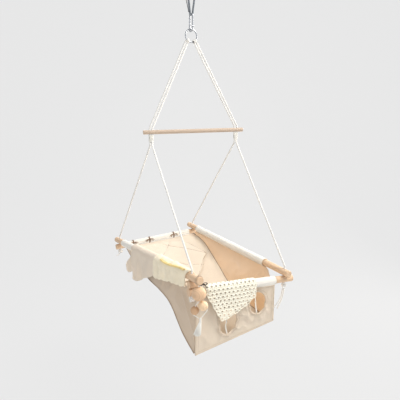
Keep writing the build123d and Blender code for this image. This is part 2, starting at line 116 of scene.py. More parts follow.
# ---------------------------------------------------------------- camera
YAW, PITCH, ROLL = radians(25.71), radians(-9.31), radians(0.55)
cam_data = bpy.data.cameras.new("camera")
cam_data.lens, cam_data.sensor_width, cam_data.clip_start = 35, 36, 0.01
camera = bpy.data.objects.new("camera", cam_data)
bpy.context.collection.objects.link(camera)
CAMERA_AT = (-0.6388, -1.4179, -0.5355)
PAPER = (0.806, 0.806, 0.806, 1)  # the backdrop's grey, as the camera sees it
aim = Matrix.Rotation(-YAW, 4, "Z") @ Matrix.Rotation(pi / 2 + PITCH, 4, "X") @ Matrix.Rotation(ROLL, 4, "Z")
camera.matrix_world = Matrix.Translation(CAMERA_AT) @ aim
bpy.context.scene.camera = camera


# ---------------------------------------------------------------- node helpers
class Nodes:
    """A material's node tree, with short calls to add and join nodes."""

    def __init__(self, name):
        self.material = bpy.data.materials.new(name)
        self.material.use_nodes = True
        self.tree = self.material.node_tree
        self.shader = self.tree.nodes["Principled BSDF"]
        self.coords = self.add("ShaderNodeTexCoord").outputs["Object"]

    def add(self, kind, inputs=(), **settings):
        node = self.tree.nodes.new(kind)
        for key, value in settings.items():
            setattr(node, key, value)
        for key, value in dict(inputs).items():
            if isinstance(value, bpy.types.NodeSocket):
                self.tree.links.new(value, node.inputs[key])
            else:
                node.inputs[key].default_value = value
        return node

    def math(self, operation, a, b=0.0):
        return self.add("ShaderNodeMath", {0: a, 1: b}, operation=operation).outputs[0]

    def noise(self, vector, scale, detail=3.0, rough=0.55):
        inputs = {"Vector": vector, "Scale": scale, "Detail": detail, "Roughness": rough}
        return self.add("ShaderNodeTexNoise", inputs).outputs["Fac"]

    def ramp(self, fac, stops):
        node = self.add("ShaderNodeValToRGB", {"Fac": fac})
        while len(node.color_ramp.elements) < len(stops):
            node.color_ramp.elements.new(0.5)
        for element, (place, colour) in zip(node.color_ramp.elements, stops):
            element.position = place
            element.color = (*colour, 1)
        return node.outputs["Color"]

    def mix(self, fac, a, b):
        node = self.add("ShaderNodeMix", data_type="RGBA")
        for key, value in ((0, fac), (6, a), (7, b)):
            if isinstance(value, bpy.types.NodeSocket):
                self.tree.links.new(value, node.inputs[key])
            else:
                node.inputs[key].default_value = value if key == 0 else (*value, 1)
        return node.outputs[2]

    def mapped(self, vector, scale=(1, 1, 1), rotation=(0, 0, 0), location=(0, 0, 0)):
        inputs = {"Vector": vector, "Scale": scale, "Rotation": rotation, "Location": location}
        return self.add("ShaderNodeMapping", inputs).outputs[0]

    def bump(self, height, distance, strength=1.0):
        node = self.add("ShaderNodeBump", {"Height": height, "Distance": distance, "Strength": strength})
        self.tree.links.new(node.outputs[0], self.shader.inputs["Normal"])

    def through(self, colour, share):
        """Lets some light pass through thin cloth."""
        leaf = self.add("ShaderNodeBsdfTranslucent", {"Color": (*colour, 1)})
        mix = self.add("ShaderNodeMixShader", {0: share, 1: self.shader.outputs[0], 2: leaf.outputs[0]})
        self.tree.links.new(mix.outputs[0], self.tree.nodes["Material Output"].inputs[0])

    def finish(self, colour, roughness, **fixed):
        self.tree.links.new(colour, self.shader.inputs["Base Color"])
        if isinstance(roughness, bpy.types.NodeSocket):
            self.tree.links.new(roughness, self.shader.inputs["Roughness"])
        else:
            self.shader.inputs["Roughness"].default_value = roughness
        for key, value in fixed.items():
            self.shader.inputs[key.replace("_", " ")].default_value = value
        return self.material


def shade(colour, factor):
    return tuple(min(c * factor, 1) for c in colour)


def woven(name, colour, pitch=0.0011, mottle=0.07, glow=0.16):
    """Plain-weave cloth. On sheets, the layer called weave holds their flat coordinates in metres."""
    n = Nodes(name)
    uv = n.add("ShaderNodeUVMap", uv_map="weave").outputs[0]
    bands = {"Vector": uv, "Scale": 0.314 / pitch, "Distortion": 0.6, "Detail": 1.0, "Detail Scale": 1.5}
    warp, weft = (n.add("ShaderNodeTexWave", bands, bands_direction=way).outputs["Fac"] for way in "XY")
    weave = n.math("MULTIPLY", warp, weft)
    slub_x = n.noise(n.mapped(uv, (30, 900, 1)), 1.0, 2.0)
    slub_y = n.noise(n.mapped(uv, (900, 30, 1)), 1.0, 2.0)
    slub = n.math("ADD", n.math("MULTIPLY", slub_x, 0.5), n.math("MULTIPLY", slub_y, 0.5))
    cloud = n.noise(n.coords, 9.0, 4.0)
    base = n.ramp(cloud, ((0.3, shade(colour, 1 - mottle)), (0.7, shade(colour, 1 + mottle / 2))))
    thread = n.mix(n.math("MULTIPLY", slub, 0.35), base, shade(colour, 0.72))
    toned = n.mix(n.math("MULTIPLY", n.math("SUBTRACT", 1.0, weave), 0.16), thread, shade(colour, 0.66))
    n.bump(n.math("ADD", weave, n.math("MULTIPLY", slub, 0.8)), 0.00022, 0.8)
    n.through((min(colour[0] * 1.08, 1), colour[1] * 0.98, colour[2] * 0.82), glow)
    return n.finish(toned, 0.88, Sheen_Weight=0.25, Sheen_Roughness=0.5, Specular_IOR_Level=0.2)


def yarn(name, colour, pitch, sheen):
    """Soft spun thread: fine twisted fibres and a little colour change."""
    n = Nodes(name)
    fibre = n.noise(n.mapped(n.coords, (1, 1, 0.35)), 1.0 / pitch, 4.0, 0.65)
    cloud = n.noise(n.coords, 22.0, 3.0)
    base = n.ramp(cloud, ((0.3, shade(colour, 0.93)), (0.7, shade(colour, 1.04))))
    toned = n.mix(n.math("MULTIPLY", fibre, 0.3), base, shade(colour, 0.72))
    n.bump(fibre, 0.0005, 0.7)
    return n.finish(toned, 0.92, Sheen_Weight=sheen, Sheen_Roughness=0.5, Specular_IOR_Level=0.15)


def timber(name, axis, centre, colour, ring=0.0032, offset=0.021):
    """Solid beech: growth rings about a pith beside the piece, so ends and sides both show grain."""
    n = Nodes(name)
    q = Vector(axis).to_track_quat("Z", "Y").inverted()
    centre = Vector(centre)
    pith = Vector((offset, offset * 0.4, 0))
    local = n.mapped(n.coords, rotation=q.to_euler(), location=pith - (q @ centre))
    bend = n.noise(n.mapped(local, (9, 9, 2.2)), 1.0, 3.0)
    parts = n.add("ShaderNodeSeparateXYZ", {0: local})
    x, y = parts.outputs[0], parts.outputs[1]
    radius = n.math("SQRT", n.math("ADD", n.math("MULTIPLY", x, x), n.math("MULTIPLY", y, y)))
    wavy = n.math("ADD", radius, n.math("MULTIPLY", bend, 0.006))
    rings = n.math("FRACT", n.math("DIVIDE", wavy, ring))
    fibre = n.noise(n.mapped(local, (1500, 1500, 38)), 1.0, 3.0, 0.6)
    fleck = n.noise(n.mapped(local, (420, 420, 60)), 1.0, 2.0, 0.5)
    cloud = n.noise(local, 12.0, 3.0)
    late = ((0.93, shade(colour, 0.8)), (1.0, shade(colour, 1.0)))
    base = n.ramp(rings, ((0.0, shade(colour, 1.05)), (0.62, colour), *late))
    toned = n.mix(n.math("MULTIPLY", fibre, 0.35), base, shade(colour, 0.74))
    flecked = n.mix(n.math("GREATER_THAN", fleck, 0.66), toned, n.mix(0.5, toned, shade(colour, 0.6)))
    darker = (colour[0] * 0.95, colour[1] * 0.82, colour[2] * 0.68)
    warm = n.mix(n.math("MULTIPLY", cloud, 0.35), flecked, darker)
    n.bump(n.math("ADD", fibre, n.math("MULTIPLY", rings, 0.4)), 0.00018, 0.5)
    rough = n.math("ADD", n.math("MULTIPLY", fibre, 0.15), 0.5)
    return n.finish(warm, rough, Specular_IOR_Level=0.35, Coat_Weight=0.04)


def metal(name, colour, rough):
    n = Nodes(name)
    scratch = n.noise(n.mapped(n.coords, (900, 900, 120)), 1.0, 3.0)
    cloud = n.noise(n.coords, 180.0, 3.0)
    toned = n.ramp(cloud, ((0.3, shade(colour, 0.86)), (0.7, shade(colour, 1.1))))
    n.bump(scratch, 0.00006, 0.4)
    return n.finish(toned, n.math("ADD", n.math("MULTIPLY", scratch, 0.14), rough), Metallic=1.0)


CLOTHS = (  # name, colour, thread pitch, mottle and the share of light let through
    ("canvas", (0.87, 0.75, 0.60), 0.0011, 0.07, 0.16),
    # a darker copy of the canvas for the left side panel: painted shade where that panel faces away from the
    # light
    ("canvas_painted_shade", (0.70, 0.56, 0.42), 0.0011, 0.07, 0.08),
    # a lighter, warmer copy of the canvas for the right side panel: painted light on its lit inner face
    ("canvas_painted_light_warm", (0.92, 0.77, 0.60), 0.0011, 0.07, 0.34),
    # a paler copy of the canvas for the sleeves and the leg-hole facings: painted light from above
    ("canvas_pale", (0.93, 0.88, 0.79), 0.0011, 0.07, 0.08),
    ("canvas_edge", (0.80, 0.67, 0.52), 0.0008, 0.07, 0.16),
    ("linen", (0.93, 0.81, 0.66), 0.0009, 0.05, 0.2),
    ("linen_edge", (0.84, 0.73, 0.58), 0.0008, 0.07, 0.1),
    ("tape", (0.36, 0.23, 0.15), 0.0007, 0.07, 0.16),
    ("bow", (0.09, 0.075, 0.07), 0.0007, 0.07, 0.16),
    # a dark brown for the side seams' piping and the mat's quilting: painted shade of the folds and creases
    # there
    ("seam", (0.40, 0.28, 0.19), 0.0008, 0.07, 0.0),
)
YARNS = (  # name, colour, fibre pitch and sheen
    ("rope", (0.80, 0.77, 0.72), 0.0022, 0.4),
    ("twine", (0.80, 0.77, 0.70), 0.0009, 0.4),
    ("knit", (0.93, 0.83, 0.64), 0.003, 0.4),
    ("knit_yellow", (0.93, 0.72, 0.30), 0.0016, 0.4),
    ("crochet", (0.93, 0.87, 0.72), 0.0012, 0.4),
    ("toy_cord", (0.95, 0.92, 0.85), 0.0008, 0.4),
    ("stitch", (0.58, 0.45, 0.33), 0.0006, 0.1),
    ("webbing", (0.26, 0.28, 0.30), 0.0012, 0.15),
    ("webbing_pale", (0.42, 0.44, 0.47), 0.0012, 0.15),
    ("dark_cord", (0.10, 0.105, 0.115), 0.0008, 0.1),
)
M = {row[0]: woven(*row) for row in CLOTHS}
M |= {row[0]: yarn(*row) for row in YARNS}
M["steel"] = metal("steel", (0.43, 0.44, 0.46), 0.3)


# ---------------------------------------------------------------- mesh helpers
def piece(name, verts, faces, material, body="swing", slot=None, uvs=None):
    """A mesh object from points in mm. It rides on a body."""
    mesh = bpy.data.meshes.new(name)
    mesh.from_pydata([tuple(c * 0.001 for c in v) for v in verts], [], faces)
    mesh.materials.append(M[material])
    mesh.polygons.foreach_set("use_smooth", [True] * len(mesh.polygons))
    if uvs:
        layer = mesh.uv_layers.new(name="weave")
        for loop in mesh.loops:
            layer.data[loop.index].uv = uvs[loop.vertex_index]
    mesh.update()
    obj = bpy.data.objects.new(name, mesh)
    bpy.context.collection.objects.link(obj)
    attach(obj, body)
    return obj


def cover(node, name, data, material, body="swing", slot="rope"):
    """A piece that takes the place of a CAD node's plain solid."""
    obj = piece(name, *data, material, body, slot)
    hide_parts(node)
    return obj


def apply(obj, kind, **settings):
    """Adds one modifier and applies it."""
    modifier = obj.modifiers.new(kind, kind)
    for key, value in settings.items():
        setattr(modifier, key, value)
    deps = bpy.context.evaluated_depsgraph_get()
    mesh = bpy.data.meshes.new_from_object(obj.evaluated_get(deps))
    obj.modifiers.remove(modifier)
    old = obj.data
    obj.data = mesh
    bpy.data.meshes.remove(old)


def grid(name, surface, nu, nv, material, thickness, size, slot, body="swing", wrap=False, even_wall=True):
    """A sheet from surface(u, v) in mm, given a thickness in mm."""
    cols = nu if wrap else nu + 1
    verts, uvs = [], []
    width, height = size
    for j in range(nv + 1):
        for i in range(cols):
            verts.append(surface(i / nu, j / nv))
            uvs.append((i / nu * width * 0.001, j / nv * height * 0.001))
    faces = []
    for j in range(nv):
        for i in range(nu):
            k = (i + 1) % cols
            faces.append((j * cols + i, j * cols + k, (j + 1) * cols + k, (j + 1) * cols + i))
    obj = piece(name, verts, faces, material, body, slot, uvs)
    apply(obj, "SOLIDIFY", thickness=thickness * 0.001, offset=0.0, use_even_offset=even_wall)
    return obj


def frames(points, closed=False):
    """Points with a side and an up direction that turn as little as possible."""
    count = len(points)
    tangents = []
    for i in range(count):
        a = points[(i - 1) % count] if closed or i else points[0]
        b = points[(i + 1) % count] if closed or i < count - 1 else points[-1]
        tangents.append((b - a).normalized())
    side = tangents[0].orthogonal().normalized()
    result = []
    for point, tangent in zip(points, tangents):
        side = (side - tangent * side.dot(tangent)).normalized()
        result.append((point, side, tangent.cross(side)))
    return result


def tube_data(points, radius, segments=8, closed=False, flat=1.0):
    """Vertices and faces of a tube. radius may be a number or a function of the share along it."""
    verts, faces = [], []
    rows = frames(points, closed)
    for i, (point, side, up) in enumerate(rows):
        r = radius(i / (len(rows) - 1)) if callable(radius) else radius
        for k in range(segments):
            a = 2 * pi * k / segments
            verts.append(point + side * (r * cos(a)) + up * (r * flat * sin(a)))
    count = len(rows)
    for i in range(count if closed else count - 1):
        for k in range(segments):
            a, b = i * segments, ((i + 1) % count) * segments
            m = (k + 1) % segments
            faces.append((a + k, a + m, b + m, b + k))
    if not closed:
        faces.append(tuple(range(segments))[::-1])
        faces.append(tuple((count - 1) * segments + k for k in range(segments)))
    return verts, faces


def join(parts):
    """One list of vertices and faces from several."""
    verts, faces = [], []
    for more_verts, more_faces in parts:
        base = len(verts)
        verts += more_verts
        faces += [tuple(base + i for i in face) for face in more_faces]
    return verts, faces


def spline_points(control, spacing):
    """Even points along the smooth NURBS line of a route, in mm."""
    data = bpy.data.curves.new("route", "CURVE")
    data.dimensions = "3D"
    data.resolution_u = 24
    spline = data.splines.new("NURBS")
    spline.points.add(len(control) - 1)
    for point, place in zip(spline.points, control):
        point.co = (*place, 1)
    spline.order_u = 3
    spline.use_endpoint_u = True
    holder = bpy.data.objects.new("route", data)
    line = bpy.data.meshes.new_from_object(holder)
    raw = [v.co.copy() for v in line.vertices]
    bpy.data.objects.remove(holder)
    bpy.data.meshes.remove(line)
    bpy.data.curves.remove(data)
    return even(raw, spacing)


def even(raw, spacing, closed=False):
    """Points resampled to an even spacing along a line."""
    if closed:
        raw = [*raw, raw[0]]
    lengths = [0.0]
    for a, b in zip(raw, raw[1:]):
        lengths.append(lengths[-1] + (b - a).length)
    count = max(int(round(lengths[-1] / spacing)), 2)
    result, i = [], 0
    for k in range(count + (0 if closed else 1)):
        target = lengths[-1] * k / count
        while i < len(raw) - 2 and lengths[i + 1] < target:
            i += 1
        gap = lengths[i + 1] - lengths[i]
        result.append(raw[i].lerp(raw[i + 1], (target - lengths[i]) / gap if gap else 0))
    return result


def laid(points, diameter, strands=4, pitch=3.6, segments=8, closed=False):
    """A twisted rope's strands along a line, as one set of vertices and faces."""
    strand_r = diameter * 0.285
    away = diameter / 2 - strand_r
    rows = frames(points, closed)
    travelled = [0.0]
    for a, b in zip(points, points[1:]):
        travelled.append(travelled[-1] + (b - a).length)
    parts = []
    for s in range(strands):
        line = []
        for (point, side, up), distance in zip(rows, travelled):
            a = 2 * pi * (distance / (pitch * diameter) + s / strands)
            line.append(point + side * (away * cos(a)) + up * (away * sin(a)))
        parts.append(tube_data(line, strand_r, segments, closed))
    return join(parts)


def stitch_line(name, points, material="stitch", radius=0.42, slot="canvas"):
    """Dashes of thread along a line of points on cloth: 3.2 mm of thread, then a gap of 1.6 mm."""
    line = even(points, 0.8)
    run, total = 4, 6
    parts = []
    for start in range(0, len(line) - run, total):
        dash = line[start:start + run + 1]
        parts.append(tube_data(dash, lambda t: radius * (0.55 + 0.45 * sin(pi * t)), 5))
    return piece(name, *join(parts), material, slot=slot)


def rod(name, points, radius, material, segments, slot, body="swing", closed=False, flat=1.0):
    return piece(name, *tube_data(points, radius, segments, closed, flat), material, body, slot)


def turn(count):
    """The angles of one full turn."""
    return [2 * pi * k / count for k in range(count)]


def closed_cord(line, spacing, *settings, **more):
    """A twisted cord round a closed line."""
    return laid(even(line, spacing, True)[:-1], *settings, closed=True, **more)


def dress(node, material):
    """Gives a CAD node its finished material."""
    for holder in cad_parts[node].material_slots:
        holder.material = material


# ---------------------------------------------------------------- ropes, hitches, whippings and knots
BAR_DIR = Vector((BAR_RIGHT.x - BAR_LEFT.x, BAR_RIGHT.y - BAR_LEFT.y, 0)).normalized()
UP = Vector((0, 0, 1))
FALLS = (
    ("left_back", BAR_LEFT, -1, -1, BACK_LEFT, 2),
    ("left_front", BAR_LEFT, 1, -1, FRONT_LEFT, 3),
    ("right_back", BAR_RIGHT, -1, 1, BACK_RIGHT, 2),
    ("right_front", BAR_RIGHT, 1, 1, FRONT_RIGHT, 2),
)
tails = {
    "rope_tail_1": [(-5.5, -2, 0), (-9, -3, -17), (-16, -4, -36), (-27, -3, -53), (-41, -2, -67)],
    "rope_tail_2": [(2.5, 1, -0.2), (2, 2, -18), (-3, 3, -39), (-12, 3, -59), (-24, 1, -76)],
}
TAIL_D, TAIL_LENGTHS = 6.0, {"rope_tail_1": 0.0781, "rope_tail_2": 0.0825}
tail_top = FRONT_RIGHT + DOWN + Vector((0, 0, -RAIL_R - 24.6))
for name, steps in tails.items():
    control = [tail_top + Vector(s) for s in steps]
    line = spline_points(control, 1.2)
    tail = cover(name, name + "_rope", laid(line, TAIL_D), "rope")
    [p * 0.001 for p in line]

for name, middle, side, hitch_side, hole, count in FALLS:
    angle = radians(hitch_side * HITCH_TILT + side * 9)
    start = Vector((31.5 * sin(angle), 0, RING_Z - 31.5 * cos(angle)))
    above = middle + BAR_DIR * (side * 5.5) + UP * 14
    below = middle + BAR_DIR * (side * 3.8) - UP * 50
    last = hole + UP * (RAIL_R + 12)
    end = hole + DOWN * (count - 1) - UP * (RAIL_R - 1)
    control = [
        start, toward(above, start, 10), above, toward(above, below, 10), toward(below, above, 12), below,
        toward(below, last, 12), toward(last, below, 9), last, toward(last, end, 8), end,
    ]
    strands = laid(spline_points(control, 1.6), ROPE_D, segments=7)
    cover(f"rope_{name}", f"rope_{name}_strands", strands, "rope")

    # a stopper knot: a trefoil of the same rope, at the back with a short cut end
    centre = hole + DOWN * (count - 1) - UP * (RAIL_R + 12.2)
    loop = []
    for a in turn(120):
        r = 5.3 + 3.0 * cos(3 * a)
        loop.append(centre + Vector((r * cos(2 * a), 3.4 * sin(3 * a), r * sin(2 * a) * 1.02)))
    cover(f"knot_{name}", f"knot_{name}_rope", closed_cord(loop, 1.3, ROPE_D * 0.97, segments=7), "rope")
    if name not in ("right_front", "left_front"):
        stub = [centre + Vector(p) for p in ((-3, 0, -6), (-6, -1, -12), (-11, -2, -17), (-18, -2, -20))]
        piece(f"knot_{name}_end", *laid(spline_points(stub, 1.2), 5.6, segments=7), "rope", slot="rope")

for name, side in (("hitch_left", -1), ("hitch_right", 1)):
    turns, line, hub = 3.0, [], Vector((0, 0, RING_Z))
    for k in range(150):
        t = k / 149
        around = 2 * pi * turns * t
        angle = radians(side * HITCH_TILT + (t - 0.5) * 27)
        out = Vector((sin(angle), 0, -cos(angle)))
        wound = out * cos(around) + Vector((0, 1, 0)) * sin(around)
        line.append(hub + out * RING_R + wound * 5.1)
    cover(name, f"{name}_turns", laid(even(line, 1.0), 4.7, segments=6), "rope")

for name, middle in (("whipping_left", BAR_LEFT), ("whipping_right", BAR_RIGHT)):
    line, across = [], UP.cross(BAR_DIR)
    turns, steps = 17, 26
    for k in range(turns * steps + 1):
        t = k / (turns * steps)
        a = 2 * pi * k / steps
        half = 4.4 - 0.5 * t
        c, s = cos(a), sin(a)
        x = (half if c > 0 else -half) * min(abs(c) * 3, 1) + 4.4 * c
        line.append(middle - UP * (9.8 + 26.2 * t) + BAR_DIR * x + across * (4.45 * s))
    cover(name, f"{name}_twine", tube_data(line, 0.8, 6), "twine")

# ---------------------------------------------------------------- wood and metal keep their CAD shapes
for node, a, b in (
    ("rail_left", FRONT_LEFT, BACK_LEFT),
    ("rail_right", FRONT_RIGHT, BACK_RIGHT),
    ("rail_front", FRONT_LEFT_LOW, FRONT_RIGHT_LOW),
    ("rail_back", BACK_LEFT_LOW, BACK_RIGHT_LOW),
    ("spacer_peg", FRONT_LEFT_LOW - DOWN, FRONT_RIGHT_LOW - DOWN),
    ("spreader_bar", BAR_LEFT, BAR_RIGHT),
):
    tone = (0.56, 0.44, 0.34) if node == "spreader_bar" else (0.70, 0.50, 0.33)
    dress(node, timber(f"beech_{node}", b - a, a * 0.001, tone))
RAIL_DIR = (FRONT_LEFT - BACK_LEFT).normalized()
TOY_TOP = FRONT_LEFT + RAIL_DIR * 45
BALL, LEFT_BEAD, RIGHT_BEAD = Vector((0, 0, -44)), Vector((-11, 7, -101)), Vector((12, -7, -84))
for node, name, axis, centre, *looks in (
    ("toy_ball", "beech_ball", (0, 0, 1), BALL, (0.72, 0.49, 0.31), 0.0045, 0.03),
    # the left bead's darker beech is painted shade and the right bead's lighter beech is painted light, on
    # one wood
    ("toy_bead_left", "beech_bead_a", (0.3, 0.2, 1), LEFT_BEAD, (0.62, 0.40, 0.24)),
    ("toy_bead_right", "beech_bead_b", (-0.35, 0, 0.94), RIGHT_BEAD, (0.86, 0.64, 0.42)),
):
    dress(node, timber(name, axis, (TOY_TOP + centre) * 0.001, *looks))
for node in ("ring", "carabiner", "carabiner_gate", "gate_pin"):
    dress(node, M["steel"])

# the sling: one closed loop of webbing round the hook's place and the carabiner's top wire
CLIP_TOP, SLING_TOP_R, SLING_LOW_R = -83.0, 16.0, 4.85
lean = asin((SLING_TOP_R - SLING_LOW_R) / -CLIP_TOP)
loop = []
for k in range(33):
    a = -lean + (pi + 2 * lean) * k / 32
    loop.append(Vector((SLING_TOP_R * cos(a), 0, SLING_TOP_R * sin(a))))
for k in range(17):
    a = pi + lean + (pi - 2 * lean) * k / 16
    loop.append(Vector((SLING_LOW_R * cos(a), 0, CLIP_TOP + SLING_LOW_R * sin(a))))
loop = even(loop, 1.0, True)


def sling_point(u, v):
    i = u * len(loop)
    k = int(i) % len(loop)
    p = lerp(loop[k], loop[(k + 1) % len(loop)], i - int(i))
    return Vector((p.x, 15.4 * (v - 0.5), p.z))


sling = grid(
    "sling_webbing", sling_point, len(loop), 10, "webbing", 1.7, (233, 16), "webbing", "hanger", True,
)
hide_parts("sling")
for edge in (-1, 1):
    for rib in (3.4, 6.6):
        line = [Vector((p.x * (1 + 0.9 / max(p.xz.length, 1)), edge * rib, p.z)) for p in loop]
        rod(f"sling_rib_{edge}_{rib}", line, 0.55, "webbing_pale", 6, "webbing", "hanger", True)
for row in range(4):
    zigzag = [Vector((0, 0.8 * k, 0.7 if k % 2 else -0.7)) for k in range(16)]
    bar = [Vector((-8.4 + 0.35 * row, -6.0, -52 - 2.6 * row)) + p for p in zigzag]
    rod(f"sling_bartack_{row}", bar, 0.45, "dark_cord", 5, "webbing", "hanger")

KEEPER = ((-13.5, -3, -71), (-19, -4, -50), (-26, -4, -27), (-29, -3, -6), (-23.5, -1, 6))
keeper = laid(spline_points([Vector(p) for p in KEEPER], 0.8), 2.9, 3, 2.6, 6)
cover("keeper_cord", "keeper_cord_strands", keeper, "dark_cord", "hanger", "keeper")


def knot_line(centre, size):
    """A small trefoil knot."""
    line = []
    for a in turn(90):
        r = size * (0.62 + 0.36 * cos(3 * a))
        line.append(centre + Vector((r * cos(2 * a), 0.42 * size * sin(3 * a), r * sin(2 * a))))
    return line


keeper_ends = [Vector((-11.8, -3, -74.9)), Vector((-20.8, 0, 8.9))]
knots = join([closed_cord(knot_line(end, 2.6), 0.6, 1.9, 3, 3.0, 6) for end in keeper_ends])
cover("keeper_knots", "keeper_knots_cord", knots, "dark_cord", "hanger", "keeper")

# the toy's doubled cord, knot and frayed tassel
STRAND = 1.8
TOY_KNOT = Vector((6, 0, -130))
right_bore = (RIGHT_BEAD - Vector((STRAND, 0, -70.8))).normalized()
left_bore = Vector((-0.1, 0.15, -1)).normalized()
toy_routes = {
    "toy_strand_left": [
        Vector((-STRAND, 0, -18.8)), Vector((-STRAND, 0, -70.5)), LEFT_BEAD - left_bore * 17.5,
        LEFT_BEAD + left_bore * 17.5, TOY_KNOT + Vector((-5.6, 1.8, 3.2)),
    ],
    "toy_strand_right": [
        Vector((STRAND, 0, -18.8)), Vector((STRAND, 0, -70.8)), RIGHT_BEAD + right_bore * 19.5,
        TOY_KNOT + Vector((3.4, -2.2, 5.2)),
    ],
}
for node, route in toy_routes.items():
    route = [TOY_TOP + p for p in route]
    control = [route[0]]
    for before, p, after in zip(route, route[1:], route[2:]):
        control += [toward(p, before, 1.3), p, toward(p, after, 1.3)]
    strand = laid(spline_points([*control, route[-1]], 0.6), 2.9, 3, 2.4, 6)
    cover(node, f"{node}_cord", strand, "toy_cord", "toy", "toy_cord")
loop_side = Vector((0, 0, -1)).cross(RAIL_DIR).normalized()
loop_down = RAIL_DIR.cross(loop_side).normalized()
if loop_down.z > 0:
    loop_down = -loop_down
ring_line = [TOY_TOP + (loop_down * cos(a) + loop_side * sin(a)) * (RAIL_R + 2.1) for a in turn(120)]
cover("toy_loop", "toy_loop_cord", laid(ring_line, 2.9, 3, 2.51, 6, True), "stitch", "toy", "toy_cord")
knot = closed_cord(knot_line(TOY_TOP + TOY_KNOT, 3.4), 0.8, 2.8, 3, 2.6, 6)
cover("toy_knot", "toy_knot_cord", knot, "toy_cord", "toy", "toy_cord")
parts, tie_at, sway = [], TOY_TOP + TOY_KNOT - UP * 4, Vector((-11.0, 0, 0))
GOLDEN_TURN = 2.39996  # spreads the threads evenly over the tassel's end
for k in range(150):
    a, rank = k * GOLDEN_TURN, sqrt((k + 0.5) / 150)
    out = Vector((cos(a), sin(a), 0))
    reach = 11.5 + 1.5 * noise.noise(Vector((k * 1.7, 0, 0)))
    long = 51 - 4 * rank + 7.0 * noise.noise(Vector((k * 0.9, 4, 0)))
    control = [
        tie_at + out * (2.3 * rank), tie_at + out * (3.2 * rank) - UP * 7,
        tie_at + out * (reach * rank * 0.55) + sway * 0.3 - UP * (long * 0.4),
        tie_at + out * (reach * rank * 0.85) + sway * 0.7 - UP * (long * 0.72),
        tie_at + out * (reach * rank * 1.08) + sway * 1.0 - UP * long,
    ]
    line = [curve_at(control, i / 12) + out.cross(UP) * (0.5 * sin(i * 1.3 + k)) for i in range(13)]
    parts.append(tube_data(line, lambda t: 0.72 * (1 - 0.3 * t), 5))
cover("toy_tassel", "toy_tassel_threads", join(parts), "toy_cord", "toy", "toy_cord")
wrap = [tie_at + Vector((3.3 * cos(a), 3.3 * sin(a), -3.0 - 0.62 * a)) for a in (0.35 * k for k in range(54))]
rod("toy_tassel_wrap", wrap, 0.7, "twine", 6, "toy_cord", "toy")


# ---------------------------------------------------------------- canvas
def ripple(p, scale, seed=0.0):
    return noise.noise(Vector((p.x * scale + seed, p.y * scale - seed, p.z * scale + 2 * seed)))


def sleeve(node, a, b, seed):
    """A canvas channel, gathered a little round its rail."""
    axis = (b - a).normalized()
    side = axis.cross(UP).normalized()
    top = side.cross(axis).normalized()
    length = (b - a).length

    def surface(u, v):
        angle = 2 * pi * u - pi / 2
        c, s = cos(angle), sin(angle)
        p = a + axis * (length * v)
        gather = 0.55 * sin(9 * angle + 3 * ripple(p, 0.02, seed))
        gather *= 0.4 + 0.6 * abs(ripple(p, 0.03, seed + 5))
        ring = 0.5 * sin(v * length * 0.22 + 5 * ripple(p, 0.012, seed + 9) + c) * step(-0.2, 0.9, -s)
        r = SLEEVE_R - 1.1 + gather + ring * 0.7
        pinch = max(-s, 0) ** 8 * 3.0
        return p + side * (r * c * (1 - 0.12 * max(-s, 0) ** 6)) + top * ((r + pinch) * s)

    rows, size = int(length / 3.4), (105, length)
    # the sleeves take the paler canvas copy, painted light from above
    obj = grid(f"{node}_canvas", surface, 56, rows, "canvas_pale", 1.6, size, "canvas", wrap=True)
    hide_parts(node)
    return axis, side


sleeve_rows = {
    "sleeve_left": [at_y(FRONT_LEFT, BACK_LEFT, y) for y in SIDE_SLEEVE_Y],
    "sleeve_right": [at_y(FRONT_RIGHT, BACK_RIGHT, y) for y in RIGHT_SLEEVE_Y],
    "sleeve_front": [at_x(FRONT_LEFT_LOW, FRONT_RIGHT_LOW, x) for x in FRONT_SLEEVE_X],
    "sleeve_back": [at_x(BACK_LEFT_LOW, BACK_RIGHT_LOW, x) for x in BACK_SLEEVE_X],
}
for seed, (node, (a, b)) in enumerate(sleeve_rows.items()):
    axis, side = sleeve(node, a, b, seed * 3.1)
    for k, end in enumerate((a, b)):
        hem = [end + side * (14.4 * cos(t)) + side.cross(axis) * (14.4 * sin(t)) for t in turn(48)]
        rod(f"{node}_hem_{k}", hem, 1.15, "canvas_edge", 8, "canvas", closed=True)


def panel_between(tops, lows, bulge, folds, seed):
    """A cloth surface between two smooth lines, with a crown and soft pulls."""

    def surface(u, v):
        top, low = curve_at(tops, v), curve_at(lows, v)
        p = lerp(top, low, u)
        after, before = min(v + 0.01, 1), max(v - 0.01, 0)
        ahead = lerp(curve_at(tops, after), curve_at(lows, after), u)
        behind = lerp(curve_at(tops, before), curve_at(lows, before), u)
        normal = (low - top).cross(ahead - behind).normalized()
        mid = sin(pi * u) * min(1, 8 * v * (1 - v) + 0.15)
        pull = 2.4 * ripple(p, 0.013, seed) + 1.0 * ripple(p, 0.035, seed + 3)
        return p + normal * (bulge * mid + pull * min(1, 6 * u * (1 - u)) + folds(u, v, p))

    return surface


def seat_point(x, y):
    """The seat's own surface under a point, with its sag."""
    t = 0.0
    for i in range(len(SEAM_LEFT) - 1):
        if SEAM_LEFT[i].y >= y >= SEAM_LEFT[i + 1].y:
            t = (i + (SEAM_LEFT[i].y - y) / (SEAM_LEFT[i].y - SEAM_LEFT[i + 1].y)) / (len(SEAM_LEFT) - 1)
    left, right = curve_at(SEAM_LEFT, t), curve_at(SEAM_RIGHT, t)
    u = (x - left.x) / (right.x - left.x)
    sag = 7 * sin(pi * min(max(u, 0), 1)) * min(1, 8 * t * (1 - t) + 0.15)
    return lerp(left, right, u).z - sag


def back_folds(u, v, _):
    return 1.6 * sin(14 * u + 5 * v) * step(0.62, 0.95, v) * sin(pi * u)


